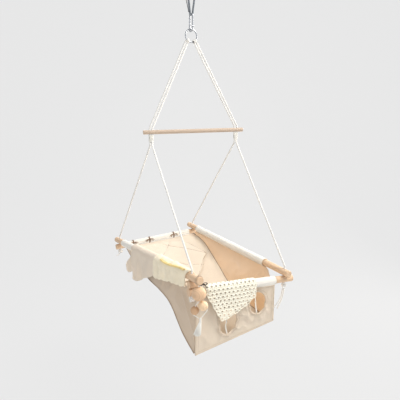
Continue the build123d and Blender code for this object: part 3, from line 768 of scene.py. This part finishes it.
def seat_sheet(node, surface, nu, nv, width, material):
    obj = grid(f"{node}_canvas", surface, nu, nv, material, 1.5, (width, 760), "canvas")
    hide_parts(node)
    return obj


back = panel_between(SEAM_LEFT, SEAM_RIGHT, 7, back_folds, 1.0)
seat_back = seat_sheet("seat_back", back, 72, 130, 330, "canvas")
front_top = [p - UP * (SLEEVE_R + 0.4) for p in sleeve_rows["sleeve_front"]]


def side_tops(rail_a, rail_b, seam, corner, ends):
    front = at_y(rail_a, rail_b, ends[1]) - UP * (SLEEVE_R + 0.4)
    tops = [at_y(rail_a, rail_b, min(p.y, ends[0])) - UP * (SLEEVE_R + 0.4) for p in seam[:5]]
    return tops + [front, lerp(front, corner, 0.55), corner]


left_tops = side_tops(FRONT_LEFT, BACK_LEFT, SEAM_LEFT, front_top[0], SIDE_SLEEVE_Y)
right_tops = side_tops(FRONT_RIGHT, BACK_RIGHT, SEAM_RIGHT, front_top[1], RIGHT_SLEEVE_Y)


def crumple(slant, scale, seed):
    """Sharp ridges between soft hollows, from 0 to 1."""
    return (1 - min(2.4 * abs(ripple(slant, scale, seed)), 1)) ** 2


def side_folds(u, v, p):
    middle = sin(pi * u)
    across = (u - 3.0 * (v - 0.76)) / 0.06
    crease = step(0.72, 0.80, v) * 4.5 * exp(-across * across) * middle
    slant = Vector((p.x, p.y + 0.35 * p.z, 0.5 * p.z))
    crease += step(0.2, 0.6, v) * (5.0 * crumple(slant, 0.017, 31.0) - 1.6) * middle * sin(pi * min(v, 0.97))
    swell = step(0.55, 1.0, v) * (3.4 * sin(8 * u + 4 * v) * middle)
    return crease + swell + 0.8 * sin(22 * v + 4 * u) * middle ** 2


left = panel_between(left_tops, SEAM_LEFT, -4, side_folds, 2.0)
# the left side panel takes the darker canvas copy, painted shade
seat_left = seat_sheet("seat_left", left, 40, 150, 120, "canvas_painted_shade")
right = panel_between(right_tops, SEAM_RIGHT, 5, side_folds, 3.0)
# the right side panel takes the lighter canvas copy, painted light
seat_right = seat_sheet("seat_right", right, 44, 150, 130, "canvas_painted_light_warm")

# the front panel: two halves, each a ring of quads about its leg hole
HOLES = ((0.385, 0.595), (0.77, 0.375))  # centres across and down the panel
SPLIT = 0.58
HOLE_STEPS = 140
across_top = (front_top[1] - front_top[0]).normalized()
PANEL_W, PANEL_H = (front_top[1] - front_top[0]).length, 186.0


def front_point(u, v, lift=0.0):
    top, low = lerp(front_top[0], front_top[1], u), lerp(CORNER_LEFT, CORNER_RIGHT, u)
    p = lerp(top, low, v)
    normal = (low - top).cross(across_top).normalized()
    if normal.y > 0:
        normal = -normal
    edge = min(1, 7 * u * (1 - u)) * min(1, 5 * v * (1 - v))
    slant = Vector((p.x + 0.6 * p.z, p.y, 0.45 * p.z - 0.3 * p.x))
    pull = 3.6 * ripple(p, 0.014, 4.0) + 1.8 * ripple(p, 0.038, 8.0) + 7.0 * crumple(slant, 0.021, 12.0) - 2.4
    near = min(hypot((u - hu) * PANEL_W / 41, (v - hv) * PANEL_H / 53) for hu, hv in HOLES)
    hu, hv = HOLES[0] if u < SPLIT else HOLES[1]
    spoke = atan2((v - hv) * PANEL_H, (u - hu) * PANEL_W)
    pucker = 1.1 * sin(9 * spoke + 1.3 * hu) * exp(-max(near - 1, 0) * 4)
    return p + normal * (3.0 * sin(pi * v) * sin(pi * u) + pull * edge + pucker + lift)


verts, faces, uvs = [], [], []
for side, (lo, hi) in enumerate(((0.0, SPLIT), (SPLIT, 1.0))):
    hu, hv = HOLES[side]

    def reach_of(angle):
        du, dv = cos(angle) / PANEL_W, sin(angle) / PANEL_H
        wide = ((hi if du > 0 else lo) - hu) / du if abs(du) > 1e-9 else 1e9
        tall = ((1.0 if dv > 0 else 0.0) - hv) / dv if abs(dv) > 1e-9 else 1e9
        return du, dv, wide, tall

    angles = []
    for a in turn(96):
        du, dv, wide, tall = reach_of(a)
        if not (wide < tall and abs(hu + du * wide - SPLIT) < 1e-6):
            angles.append(a)
    for k in range(31):
        angles.append(atan2((k / 30 - hv) * PANEL_H, (SPLIT - hu) * PANEL_W) % (2 * pi))
    outer = (lo if hi == SPLIT else hi) - hu
    for cv in (0.0, 1.0):
        angles.append(atan2((cv - hv) * PANEL_H, outer * PANEL_W) % (2 * pi))
    angles.sort()
    base, rings = len(verts), 20
    for a in angles:
        du, dv, wide, tall = reach_of(a)
        rim = 1 / hypot(cos(a) / 38.5, sin(a) / 50.5)
        for k in range(rings + 1):
            d = rim + (min(wide, tall) - rim) * (k / rings) ** 1.25
            u, v = hu + du * d, hv + dv * d
            verts.append(front_point(u, v))
            uvs.append((u * PANEL_W * 0.001, v * PANEL_H * 0.001))
    n = len(angles)
    for i in range(n):
        j = (i + 1) % n
        for k in range(rings):
            a, b = base + i * (rings + 1) + k, base + j * (rings + 1) + k
            faces.append((a, a + 1, b + 1, b))
seat_front = piece("seat_front_canvas", verts, faces, "canvas", slot="canvas", uvs=uvs)
apply(seat_front, "WELD", merge_threshold=0.0004)
apply(seat_front, "SOLIDIFY", thickness=0.0015, offset=0.0, use_even_offset=True)
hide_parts("seat_front")


def hole_line(side, rx, ry, lift):
    """An oval on the cloth round one leg hole."""
    u, v = HOLES[side]
    return [front_point(u + rx * cos(a) / PANEL_W, v + ry * sin(a) / PANEL_H, lift) for a in turn(HOLE_STEPS)]


def gathered(t):
    """The radius of a leg hole's rolled edge, with 24 gathers round the hole."""
    i = t * (HOLE_STEPS - 1)
    return 3.7 + 0.3 * sin(2 * pi * 24 * i / HOLE_STEPS) + 0.15 * sin(i * 0.9)


for side, node in enumerate(("leg_binding_left", "leg_binding_right")):
    roll = tube_data(hole_line(side, 37, 49, 0.4), gathered, 12, True)
    cover(node, f"{node}_roll", roll, "canvas_edge", slot="tape")
    facing = []
    for k in range(41):
        t = k / 40 * 2 - 1
        u = HOLES[side][0] + (-5 + 3 * t * t) / PANEL_W
        facing.append(front_point(u, HOLES[side][1] + 47 * t / PANEL_H, -4.5 - 4 * (1 - t * t)))
    # the facing takes the paler canvas copy, painted light
    rod(f"{node}_facing", facing, 4.2, "canvas_pale", 10, "tape", flat=0.4)
    stitched = hole_line(side, 44.5, 57, 1.2)
    stitch_line(f"{node}_stitches", stitched + stitched[:1])

# seams: piping along the edges and rows of stitches beside them; the side seams' dark brown piping is painted
# shade of the folds along those seams
seam_lines = {
    "seam_left": [curve_at(SEAM_LEFT, k / 160) for k in range(161)],
    "seam_right": [curve_at(SEAM_RIGHT, k / 160) for k in range(161)],
    "seam_bottom": [lerp(CORNER_LEFT, CORNER_RIGHT, k / 80) for k in range(81)],
    "seam_front_left": [lerp(front_top[0], CORNER_LEFT, k / 50) for k in range(51)],
    "seam_front_right": [lerp(front_top[1], CORNER_RIGHT, k / 50) for k in range(51)],
}
for name, line in seam_lines.items():
    # only the two side seams get the dark brown, painted shade of the folds along them
    colour = "seam" if name in ("seam_left", "seam_right") else "canvas_edge"
    rod(name, line, lambda t: 2.4 + 0.15 * sin(t * 90), colour, 8, "canvas")
for node, tops in (("left", left_tops), ("right", right_tops)):
    hem = [curve_at(tops, k / 200) for k in range(125, 201)]
    rod(f"hem_{node}_front", hem, 1.6, "canvas_edge", 8, "canvas")
for side, u in enumerate((0.03, 0.97)):
    stitch_line(f"front_edge_stitches_{side}", [front_point(u, 0.04 + 0.92 * k / 60, 1.3) for k in range(61)])
for edge, v in (("top", 0.05), ("bottom", 0.965)):
    stitch_line(f"front_{edge}_stitches", [front_point(0.03 + 0.94 * k / 100, v, 1.3) for k in range(101)])

# ---------------------------------------------------------------- the petal-edged mat
OVER_R = SLEEVE_R + 0.6
QUARTER = pi / 2 * (OVER_R + 2)


def rail_at(y):
    return at_y(FRONT_LEFT, BACK_LEFT, y)


def over_route(y, radius):
    """The path of cloth across the left rail: down the inner wall and over the seat."""
    rail, seam_x = rail_at(y), at_seam(y)
    wall = Vector((max(seam_x + 20, rail.x + radius + 8), y, seat_point(seam_x + 24, y) + 9))
    start = Vector((rail.x + radius, y, rail.z))
    return rail, start, wall, (wall - start).length


def at_seam(y):
    for a, b in zip(SEAM_LEFT, SEAM_LEFT[1:]):
        if a.y >= y >= b.y:
            return lerp(a.x, b.x, (a.y - y) / (a.y - b.y))
    return SEAM_LEFT[0].x


def cloth_at(y, s, radius, lift=0.0):
    """A point of cloth that lies over the left rail, s mm inwards from its top line."""
    rail, start, wall, length = over_route(y, radius)
    quarter = pi / 2 * radius
    r = radius + lift
    if s < -quarter:
        drop = -s - quarter
        return Vector((rail.x - r + 0.02 * drop, y, rail.z - drop))
    if s <= quarter:
        a = s / radius
        return Vector((rail.x + r * sin(a), y, rail.z + r * cos(a)))
    total = Vector((0, 0, 0))
    for shift in (-14, -7, 0, 7, 14):
        d = max(s - quarter + shift, 0)
        if d <= length:
            p = lerp(start, wall, d / length) + Vector((0.7, 0, 0.3)) * lift
        else:
            x = wall.x + d - length
            p = Vector((x, y, seat_point(x, y) + 6)) + UP * lift
        total += p * 0.2
    return total


def inside(x, y, radius):
    """The s of a place on the seat."""
    *_, wall, length = over_route(y, radius)
    return pi / 2 * radius + length + x - wall.x


def coons(rear, front, outer, inner):
    """A smooth patch between four edge lines."""

    def place(u, v):
        a, b = curve_at(rear, u), curve_at(front, u)
        c, d = curve_at(outer, v), curve_at(inner, v)
        corners = lerp(lerp(rear[0], rear[-1], u), lerp(front[0], front[-1], u), v)
        return lerp(a, b, v) + lerp(c, d, u) - corners

    return place


def near_lines(x, y, lines):
    """The distance to the nearest of the lines."""
    best = 1e9
    for line in lines:
        for (ax, ay), (bx, by) in zip(line, line[1:]):
            dx, dy = bx - ax, by - ay
            t = min(max(((x - ax) * dx + (y - ay) * dy) / (dx * dx + dy * dy), 0), 1)
            best = min(best, hypot(x - ax - dx * t, y - ay - dy * t))
    return best


MAT_R = OVER_R + 2.2


def out(y, drop):
    return Vector((y, -drop - pi / 2 * MAT_R, 0))


def on_seat(x, y):
    return Vector((y, inside(x, y, MAT_R), 0))


# each point outside is a place along the rail and a drop below it; on the seat it is x and y
OUTSIDE = (
    (246, 84), (244, 104), (214, 113), (186, 100), (180, 126),
    (136, 132), (96, 120), (44, 96), (-12, 78), (-50, 56),
)
INSIDE = (
    (24, 304), (66, 286), (98, 258), (126, 200), (140, 140),
    (112, 102), (84, 54), (40, -2), (-40, -40), (-100, -64),
)
mat_outer, mat_inner = [out(*p) for p in OUTSIDE], [on_seat(*p) for p in INSIDE]
over_rear = [Vector((170, 0, 0)), Vector((212, 40, 0)), Vector((272, 66, 0))]
over_front = [Vector((-60, 0, 0)), Vector((-62, 40, 0)), Vector((-64, 90, 0))]
inner_rear = [on_seat(-120, 304), on_seat(-60, 312), mat_inner[0]]
mat_rear = [mat_outer[0], out(216, 54), out(178, 14), *over_rear, *inner_rear]
mat_front = [mat_outer[-1], out(-56, 40), out(-58, 8), *over_front, mat_inner[-1]]
mat_place = coons(mat_rear, mat_front, mat_outer, mat_inner)
QUILT = (
    ((98, 258), (148, 135)),
    ((148, 135), (112, 102), (40, -2)),
    ((-63, 175), (-30, 215), (-2, 255), (26, 300)),
    ((-14, 293), (70, 214), (148, 135)),
    ((-63, 175), (20, 90), (100, 60)),
    ((-120, 300), (-63, 175), (-90, 60)),
)


def mat_point(u, v):
    place = mat_place(u, v)
    y, s = place.x, place.y
    p = cloth_at(y, s, MAT_R)
    puff = 1.0
    if s > QUARTER + 40:
        puff = min(near_lines(p.x, p.y, QUILT) / 9, 1)
    elif s < -QUARTER:
        puff = 0.5 + 0.5 * sin((y + 0.9 * s) * 0.085)
    wave = 2.2 * ripple(p, 0.016, 11.0) + 1.2 * ripple(p, 0.04, 15.0)
    hang = step(QUARTER, QUARTER + 60, -s)
    flare = hang * (3.6 * sin(y * 0.052 + 0.8) + 1.8 * sin(y * 0.11 + 2.0) - 2.0)
    return cloth_at(y, s, MAT_R, 2.0 * puff * (2 - puff) + 0.45 * wave) - Vector((flare, 0, 0))


mat_sheet = grid("petal_mat_cloth", mat_point, 120, 110, "linen", 2.0, (330, 380), "linen", even_wall=False)
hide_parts("petal_mat")
mat_edge = (
    [mat_point(k / 80, 0) for k in range(81)] + [mat_point(1, k / 90) for k in range(1, 91)]
    + [mat_point(1 - k / 60, 1) for k in range(1, 61)] + [mat_point(0, 1 - k / 110) for k in range(1, 110)]
)
mat_edge = even(mat_edge, 1.6, True)[:-1]
mat_pieces = [rod("petal_mat_edge", mat_edge, 1.35, "linen_edge", 8, "linen", closed=True)]
for k, line in enumerate(QUILT):
    points = []
    for (ax, ay), (bx, by) in zip(line, line[1:]):
        for i in range(40):
            x, y = lerp(ax, bx, i / 40), lerp(ay, by, i / 40)
            points.append(Vector((x, y, seat_point(x, y) + 7.6)))
    # the quilting is real stitching, drawn thick and dark brown as painted shade of the creases beside it
    mat_pieces.append(stitch_line(f"petal_mat_quilting_{k}", points, "seam", radius=0.8, slot="linen"))

# ties round the back rail, each knotted with two short ends
back_axis = (BACK_RIGHT - BACK_LEFT).normalized()
back_side = back_axis.cross(UP).normalized()
for number, x in enumerate((-137, -55, 72), 1):
    middle = at_x(BACK_LEFT_LOW, BACK_RIGHT_LOW, x)
    parts = []
    for shift in (-1.6, 1.7):
        line = []
        for a in turn(60):
            outwards = (back_side * cos(a) + UP * sin(a)) * (SLEEVE_R + 1.15)
            line.append(middle + back_axis * (shift + 0.8 * sin(a)) + outwards)
        parts.append(tube_data(line, 0.9, 6, True, 2.0))
    knot_at = middle + (back_side * 0.86 + UP * 0.5) * (SLEEVE_R + 2.6)
    parts.append(closed_cord(knot_line(knot_at, 3.2), 0.8, 2.4, 3, 3.0, 6))
    for hand in (-1, 1):
        for length, fall, rise in ((22, 5, 1), (17, 12, 0.4)):
            reach = back_axis * (hand * length)
            ends = [
                knot_at, knot_at + reach * 0.4 + back_side * 3 + UP * (2 * rise),
                knot_at + reach * 0.8 + back_side * 4 - UP * (fall * 0.3),
                knot_at + reach + back_side * 3 - UP * fall,
            ]
            parts.append(tube_data([curve_at(ends, i / 14) for i in range(15)], 1.5, 6, False, 0.42))
    cover(f"mat_tie_{number}", f"mat_tie_{number}_tape", join(parts), "tape", slot="tape")

# ---------------------------------------------------------------- the knitted throw
THROW_R = OVER_R + 4.0
THROW_DROPS = ((-300, 34), (-254, 38), (-196, 44), (-142, 54), (-66, 62))
THROW_INSIDES = ((-300, 12), (-222, 28), (-142, 44), (-66, 30))


def throw_point(u, v, lift=0.0):
    y = lerp(-66.0, -303.0, v)
    quarter = pi / 2 * THROW_R
    hem = 5.0 * abs(sin(pi * (y + 66) / 33))
    s = lerp(-quarter - table_at(THROW_DROPS, y) - hem, quarter + table_at(THROW_INSIDES, y), u)
    rail = rail_at(y)
    slump = 3.4 * ripple(Vector((s, y, 0)), 0.028, 21.0) + 2.2 * ripple(Vector((s, y, 0)), 0.07, 25.0)
    hug = step(0.72, 1.0, v)
    r = lerp(THROW_R + slump * 0.8, RAIL_R + 3.6, hug) + lift
    fold = 1.6 * sin(y * 0.12 + s * 0.03)
    if s < -quarter:
        drop = -s - quarter
        return Vector((rail.x - r - fold * min(drop / 30, 1), y + 0.06 * drop, rail.z - drop))
    if s > quarter:
        return Vector((rail.x + r, y, rail.z - (s - quarter)))
    a = s / THROW_R
    return Vector((rail.x + r * sin(a), y, rail.z + r * cos(a)))


throw_sheet = grid("knit_throw_ground", throw_point, 60, 80, "knit", 2.0, (170, 232), "knit", even_wall=False)
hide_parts("knit_throw")
columns, courses, parts = 38, 40, []
for j in range(columns):
    for i in range(courses):
        v0, u0 = (j + 0.5) / columns, (i + 0.35) / courses
        for hand in (-1, 1):
            low = throw_point(u0, v0, 1.4)
            mid = throw_point(u0 + 0.62 / courses, v0 + hand * 0.30 / columns, 3.0)
            top = throw_point(min(u0 + 1.45 / courses, 1), v0 + hand * 0.34 / columns, 1.6)
            line = [low, lerp(lerp(low, mid, 0.5), mid, 0.3), mid, lerp(mid, top, 0.5), top]
            parts.append(tube_data(line, lambda t: 1.05 + 0.55 * sin(pi * t), 6))
throw_pieces = [piece("knit_throw_stitches", *join(parts), "knit", slot="knit")]
for row, u_at in enumerate((0.02, 0.985)):
    line = even([throw_point(u_at, k / 120, 2.0 + 0.6 * sin(k * 0.9)) for k in range(121)], 1.2)
    throw_pieces.append(piece(f"knit_throw_edge_{row}", *laid(line, 4.4, 3, 2.2, 6), "knit", slot="knit"))


def throw_fold(t, k):
    """The yellow edge: a soft roll that lies along the rail's outer top."""
    y = lerp(-118.0, -290.0, t)
    rail = rail_at(y)
    angle = radians(-34 - 10 * sin(t * 5.0) - 7.0 * k)
    r = THROW_R + 4.2 + 0.9 * sin(t * 31 + k) + (1.0 - abs(k - 1.0)) * 1.4
    return Vector((rail.x + r * sin(angle), y, rail.z + r * cos(angle)))


parts = []
for k in range(3):
    line = even([throw_fold(i / 90, k) for i in range(91)], 1.2)
    parts.append(laid(line, 5.0 - 0.6 * abs(k - 1), 3, 2.0, 7))
throw_pieces.append(piece("knit_throw_yellow_edge", *join(parts), "knit_yellow", slot="knit"))

# ---------------------------------------------------------------- the crocheted cloth on the front rail
CLOTH_DROPS = (
    (-90, 12), (-76, 34), (-58, 66), (-42, 92), (-28, 112), (-12, 108), (20, 92), (60, 74), (103, 42),
)
CLOTH_INSIDES = ((-90, 14), (-28, 34), (50, 36), (103, 20))
CLOTH_R = OVER_R + 2.0
CELL_X, CELL_S = 16.4, 13.4


def cloth_point(x, s, lift=0.0):
    """s runs from the rail's top line, outwards down the front."""
    quarter = pi / 2 * CLOTH_R
    s = min(max(s, -quarter - table_at(CLOTH_INSIDES, x)), quarter + table_at(CLOTH_DROPS, x))
    rail = at_x(FRONT_LEFT_LOW, FRONT_RIGHT_LOW, x)
    wave = 1.4 * ripple(Vector((x, s, 0)), 0.03, 31.0) + 0.7 * ripple(Vector((x, s, 0)), 0.09, 35.0)
    r = CLOTH_R + lift + wave * 0.6
    if abs(s) > quarter:
        drop = abs(s) - quarter
        hand = 1 if s > 0 else -1
        swell = 1.6 * sin(x * 0.07) * min(drop / 40, 1)
        return Vector((x, rail.y - hand * r - swell * hand + 0.02 * drop * hand, rail.z - drop))
    a = s / CLOTH_R
    return Vector((x, rail.y - r * sin(a), rail.z + r * cos(a)))


def inside_cloth(x, s):
    quarter = pi / 2 * CLOTH_R
    low, high = -quarter - table_at(CLOTH_INSIDES, x), quarter + table_at(CLOTH_DROPS, x)
    return -90 <= x <= 103 and low <= s <= high


verts, faces, uvs, loops = [], [], [], []
for row in range(-5, 12):
    for column in range(-7, 7):
        cx, cs = (column + 0.5 * (row % 2)) * CELL_X + 4, row * CELL_S
        if not inside_cloth(cx, cs):
            continue
        base = len(verts)
        for a in turn(16):
            c, q = cos(a), sin(a)
            edge = 1 / max(abs(c) / (CELL_X / 2), abs(q) / (CELL_S / 2))
            for d in (3.6, 5.2, edge):
                x, z = min(max(cx + c * d, -92), 104), cs + q * d
                verts.append(cloth_point(x, z, 0.9 if d == 5.2 else 0.0))
                uvs.append((x * 0.001, z * 0.001))
        for k in range(16):
            a, b = base + 3 * k, base + 3 * ((k + 1) % 16)
            faces += [(a, a + 1, b + 1, b), (a + 1, a + 2, b + 2, b + 1)]
        loops.append((cx, cs))
cloth_sheet = piece("crochet_cloth_ground", verts, faces, "crochet", slot="crochet", uvs=uvs)
apply(cloth_sheet, "WELD", merge_threshold=0.00005)
apply(cloth_sheet, "SOLIDIFY", thickness=0.0016, offset=0.0)
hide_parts("crochet_cloth")
parts = []
for cx, cs in loops:
    for radius, thick, lift in ((4.4, 1.0, 1.1), (7.0, 0.8, 0.5)):
        line = []
        for a in turn(14):
            reach = radius + 0.35 * sin(5 * a)
            x = min(max(cx + reach * cos(a), -92), 104)
            line.append(cloth_point(x, cs + reach * 0.92 * sin(a), lift))
        if (line[0] - line[7]).length > 2 and (line[3] - line[10]).length > 2:
            parts.append(tube_data(line, thick, 5, True))
cloth_pieces = [piece("crochet_cloth_loops", *join(parts), "crochet", slot="crochet")]
quarter = pi / 2 * CLOTH_R


def cloth_border(name, line):
    border = laid(even(line, 0.9), 3.4, 3, 2.4, 6)
    cloth_pieces.append(piece(f"crochet_cloth_edge_{name}", *border, "crochet", slot="crochet"))


for name, rows, hand in (("front", CLOTH_DROPS, 1), ("inner", CLOTH_INSIDES, -1)):
    line = []
    for k in range(241):
        x = lerp(-90, 103, k / 240)
        scallop = 1.6 * abs(sin(pi * (x + 90) / 9.65))
        line.append(cloth_point(x, hand * (quarter + table_at(rows, x)), 0.6) - UP * scallop)
    cloth_border(name, line)
for name, x in (("left", -90), ("right", 103)):
    low, high = -quarter - table_at(CLOTH_INSIDES, x), quarter + table_at(CLOTH_DROPS, x)
    cloth_border(name, [cloth_point(x, lerp(low, high, k / 60), 0.6) for k in range(61)])

# a small dark bow beside the corner
bow_at = at_x(FRONT_LEFT_LOW, FRONT_RIGHT_LOW, -101) + Vector((0, -8, SLEEVE_R + 9))
parts = [closed_cord(knot_line(bow_at, 2.6), 0.7, 2.0, 3, 3.0, 6)]
for hand, size in ((-1, 13.0), (1, 16.0)):
    line = []
    for k in range(29):
        a = pi * 2 * k / 28
        arch = 1.5 * sin(a / 2)
        line.append(bow_at + Vector((hand * size * 0.5 * (1 - cos(a)), -arch, 3.6 * sin(a) + arch)))
    parts.append(tube_data(line, 2.3, 6, False, 0.4))
    steps = ((0, 0, 0), (5, -3, 1), (9, -6, -5), (11, -7, -13))
    ends = [bow_at + Vector((hand * x, y, z)) for x, y, z in steps]
    parts.append(tube_data([curve_at(ends, i / 12) for i in range(13)], 1.7, 6, False, 0.4))
cloth_pieces.append(piece("crochet_cloth_bow", *join(parts), "bow", slot="tape"))

# ---------------------------------------------------------------- cloth sheets, listed with their flat sizes, how they hang, what they rest on, areas and pieces
CUTS = (
    (seat_back, (0.345, 0.74), "stretched", ["rail_back", seat_left, seat_right], None, ()),
    (seat_left, (0.14, 0.74), "stretched", ["rail_left", "sleeve_left_canvas"], 0.063, ()),
    (seat_right, (0.15, 0.74), "stretched", ["rail_right", "sleeve_right_canvas"], 0.065, ()),
    (seat_front, (0.34, 0.20), "stretched", ["rail_front", "sleeve_front_canvas"], 0.048, ()),
    (mat_sheet, (0.43, 0.38), "draped", [seat_back, "rail_left"], 0.155, mat_pieces),
    (throw_sheet, (0.17, 0.24), "draped", ["rail_left", mat_sheet], None, throw_pieces),
    (cloth_sheet, (0.20, 0.22), "draped", ["rail_front"], 0.033, cloth_pieces),
)
for sheet, flat, held, rests_on, area, pieces in CUTS:
    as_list(rests_on)
    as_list(pieces)


# ---------------------------------------------------------------- floor, backdrop and light
def stage_material(name, colour):
    """Paper that looks evenly lit to the camera."""
    n = Nodes(name)
    n.tree.nodes.remove(n.shader)
    diffuse = n.add("ShaderNodeBsdfDiffuse", {"Color": (*colour, 1)})
    glow = n.add("ShaderNodeEmission", {"Color": PAPER, "Strength": 1.0})
    path = n.add("ShaderNodeLightPath")
    mirrored = n.math("MAXIMUM", path.outputs["Is Glossy Ray"], path.outputs["Is Transmission Ray"])
    seen = n.math("MAXIMUM", path.outputs["Is Camera Ray"], mirrored)
    share = n.math("MULTIPLY", seen, 0.95)
    mix = n.add("ShaderNodeMixShader", {0: share, 1: diffuse.outputs[0], 2: glow.outputs[0]})
    n.tree.links.new(mix.outputs[0], n.tree.nodes["Material Output"].inputs[0])
    return n.material


FLOOR_Z = -1.75
profile = [(-4.0, 0.0), (1.6, 0.0)]
for k in range(1, 13):
    a = pi / 2 * k / 12
    profile.append((1.6 + 1.2 * sin(a), 1.2 - 1.2 * cos(a)))
profile.append((2.8, 5.0))
heading = Matrix.Rotation(-YAW, 3, "Z")
verts = [heading @ Vector((x, y, FLOOR_Z + z)) for y, z in profile for x in (-6, 6)]
faces = [(2 * i, 2 * i + 1, 2 * i + 3, 2 * i + 2) for i in range(len(profile) - 1)]
mesh = bpy.data.meshes.new("studio")
mesh.from_pydata(verts, [], faces)
mesh.polygons.foreach_set("use_smooth", [True] * len(mesh.polygons))
mesh.materials.append(stage_material("studio_paper", (0.80, 0.80, 0.80)))
studio = bpy.data.objects.new("studio", mesh)
bpy.context.collection.objects.link(studio)

world = bpy.data.worlds.new("world")
bpy.context.scene.world = world
world.use_nodes = True
tree = world.node_tree
background = tree.nodes["Background"]
background.inputs["Color"].default_value = (0.93, 0.96, 1.0, 1)
background.inputs["Strength"].default_value = 0.62
glow = tree.nodes.new("ShaderNodeBackground")
glow.inputs["Color"].default_value = PAPER
path = tree.nodes.new("ShaderNodeLightPath")
mix = tree.nodes.new("ShaderNodeMixShader")
tree.links.new(path.outputs["Is Camera Ray"], mix.inputs[0])
tree.links.new(background.outputs[0], mix.inputs[1])
tree.links.new(glow.outputs[0], mix.inputs[2])
tree.links.new(mix.outputs[0], tree.nodes["World Output"].inputs[0])


def lamp(name, place, target, size, power, colour=(1, 1, 1)):
    data = bpy.data.lights.new(name, "AREA")
    data.shape, data.size, data.energy, data.color = "DISK", size, power, colour
    obj = bpy.data.objects.new(name, data)
    obj.location = place
    obj.rotation_euler = (Vector(target) - Vector(place)).to_track_quat("-Z", "Y").to_euler()
    bpy.context.collection.objects.link(obj)


lamp("key", (1.3, -1.2, 1.3), (0, 0, -0.95), 1.4, 74, (1.0, 0.985, 0.96))
lamp("fill", (-1.9, -1.5, -0.2), (0, 0, -0.95), 1.8, 12, (0.97, 0.98, 1.0))
lamp("side", (2.3, 0.3, -0.3), (0.1, 0, -1.05), 1.2, 58, (1.0, 0.96, 0.90))
lamp("back", (0.3, 2.2, 0.8), (0, 0, -0.9), 1.5, 26, (1.0, 0.97, 0.93))

bpy.context.scene.view_settings.view_transform = "Standard"
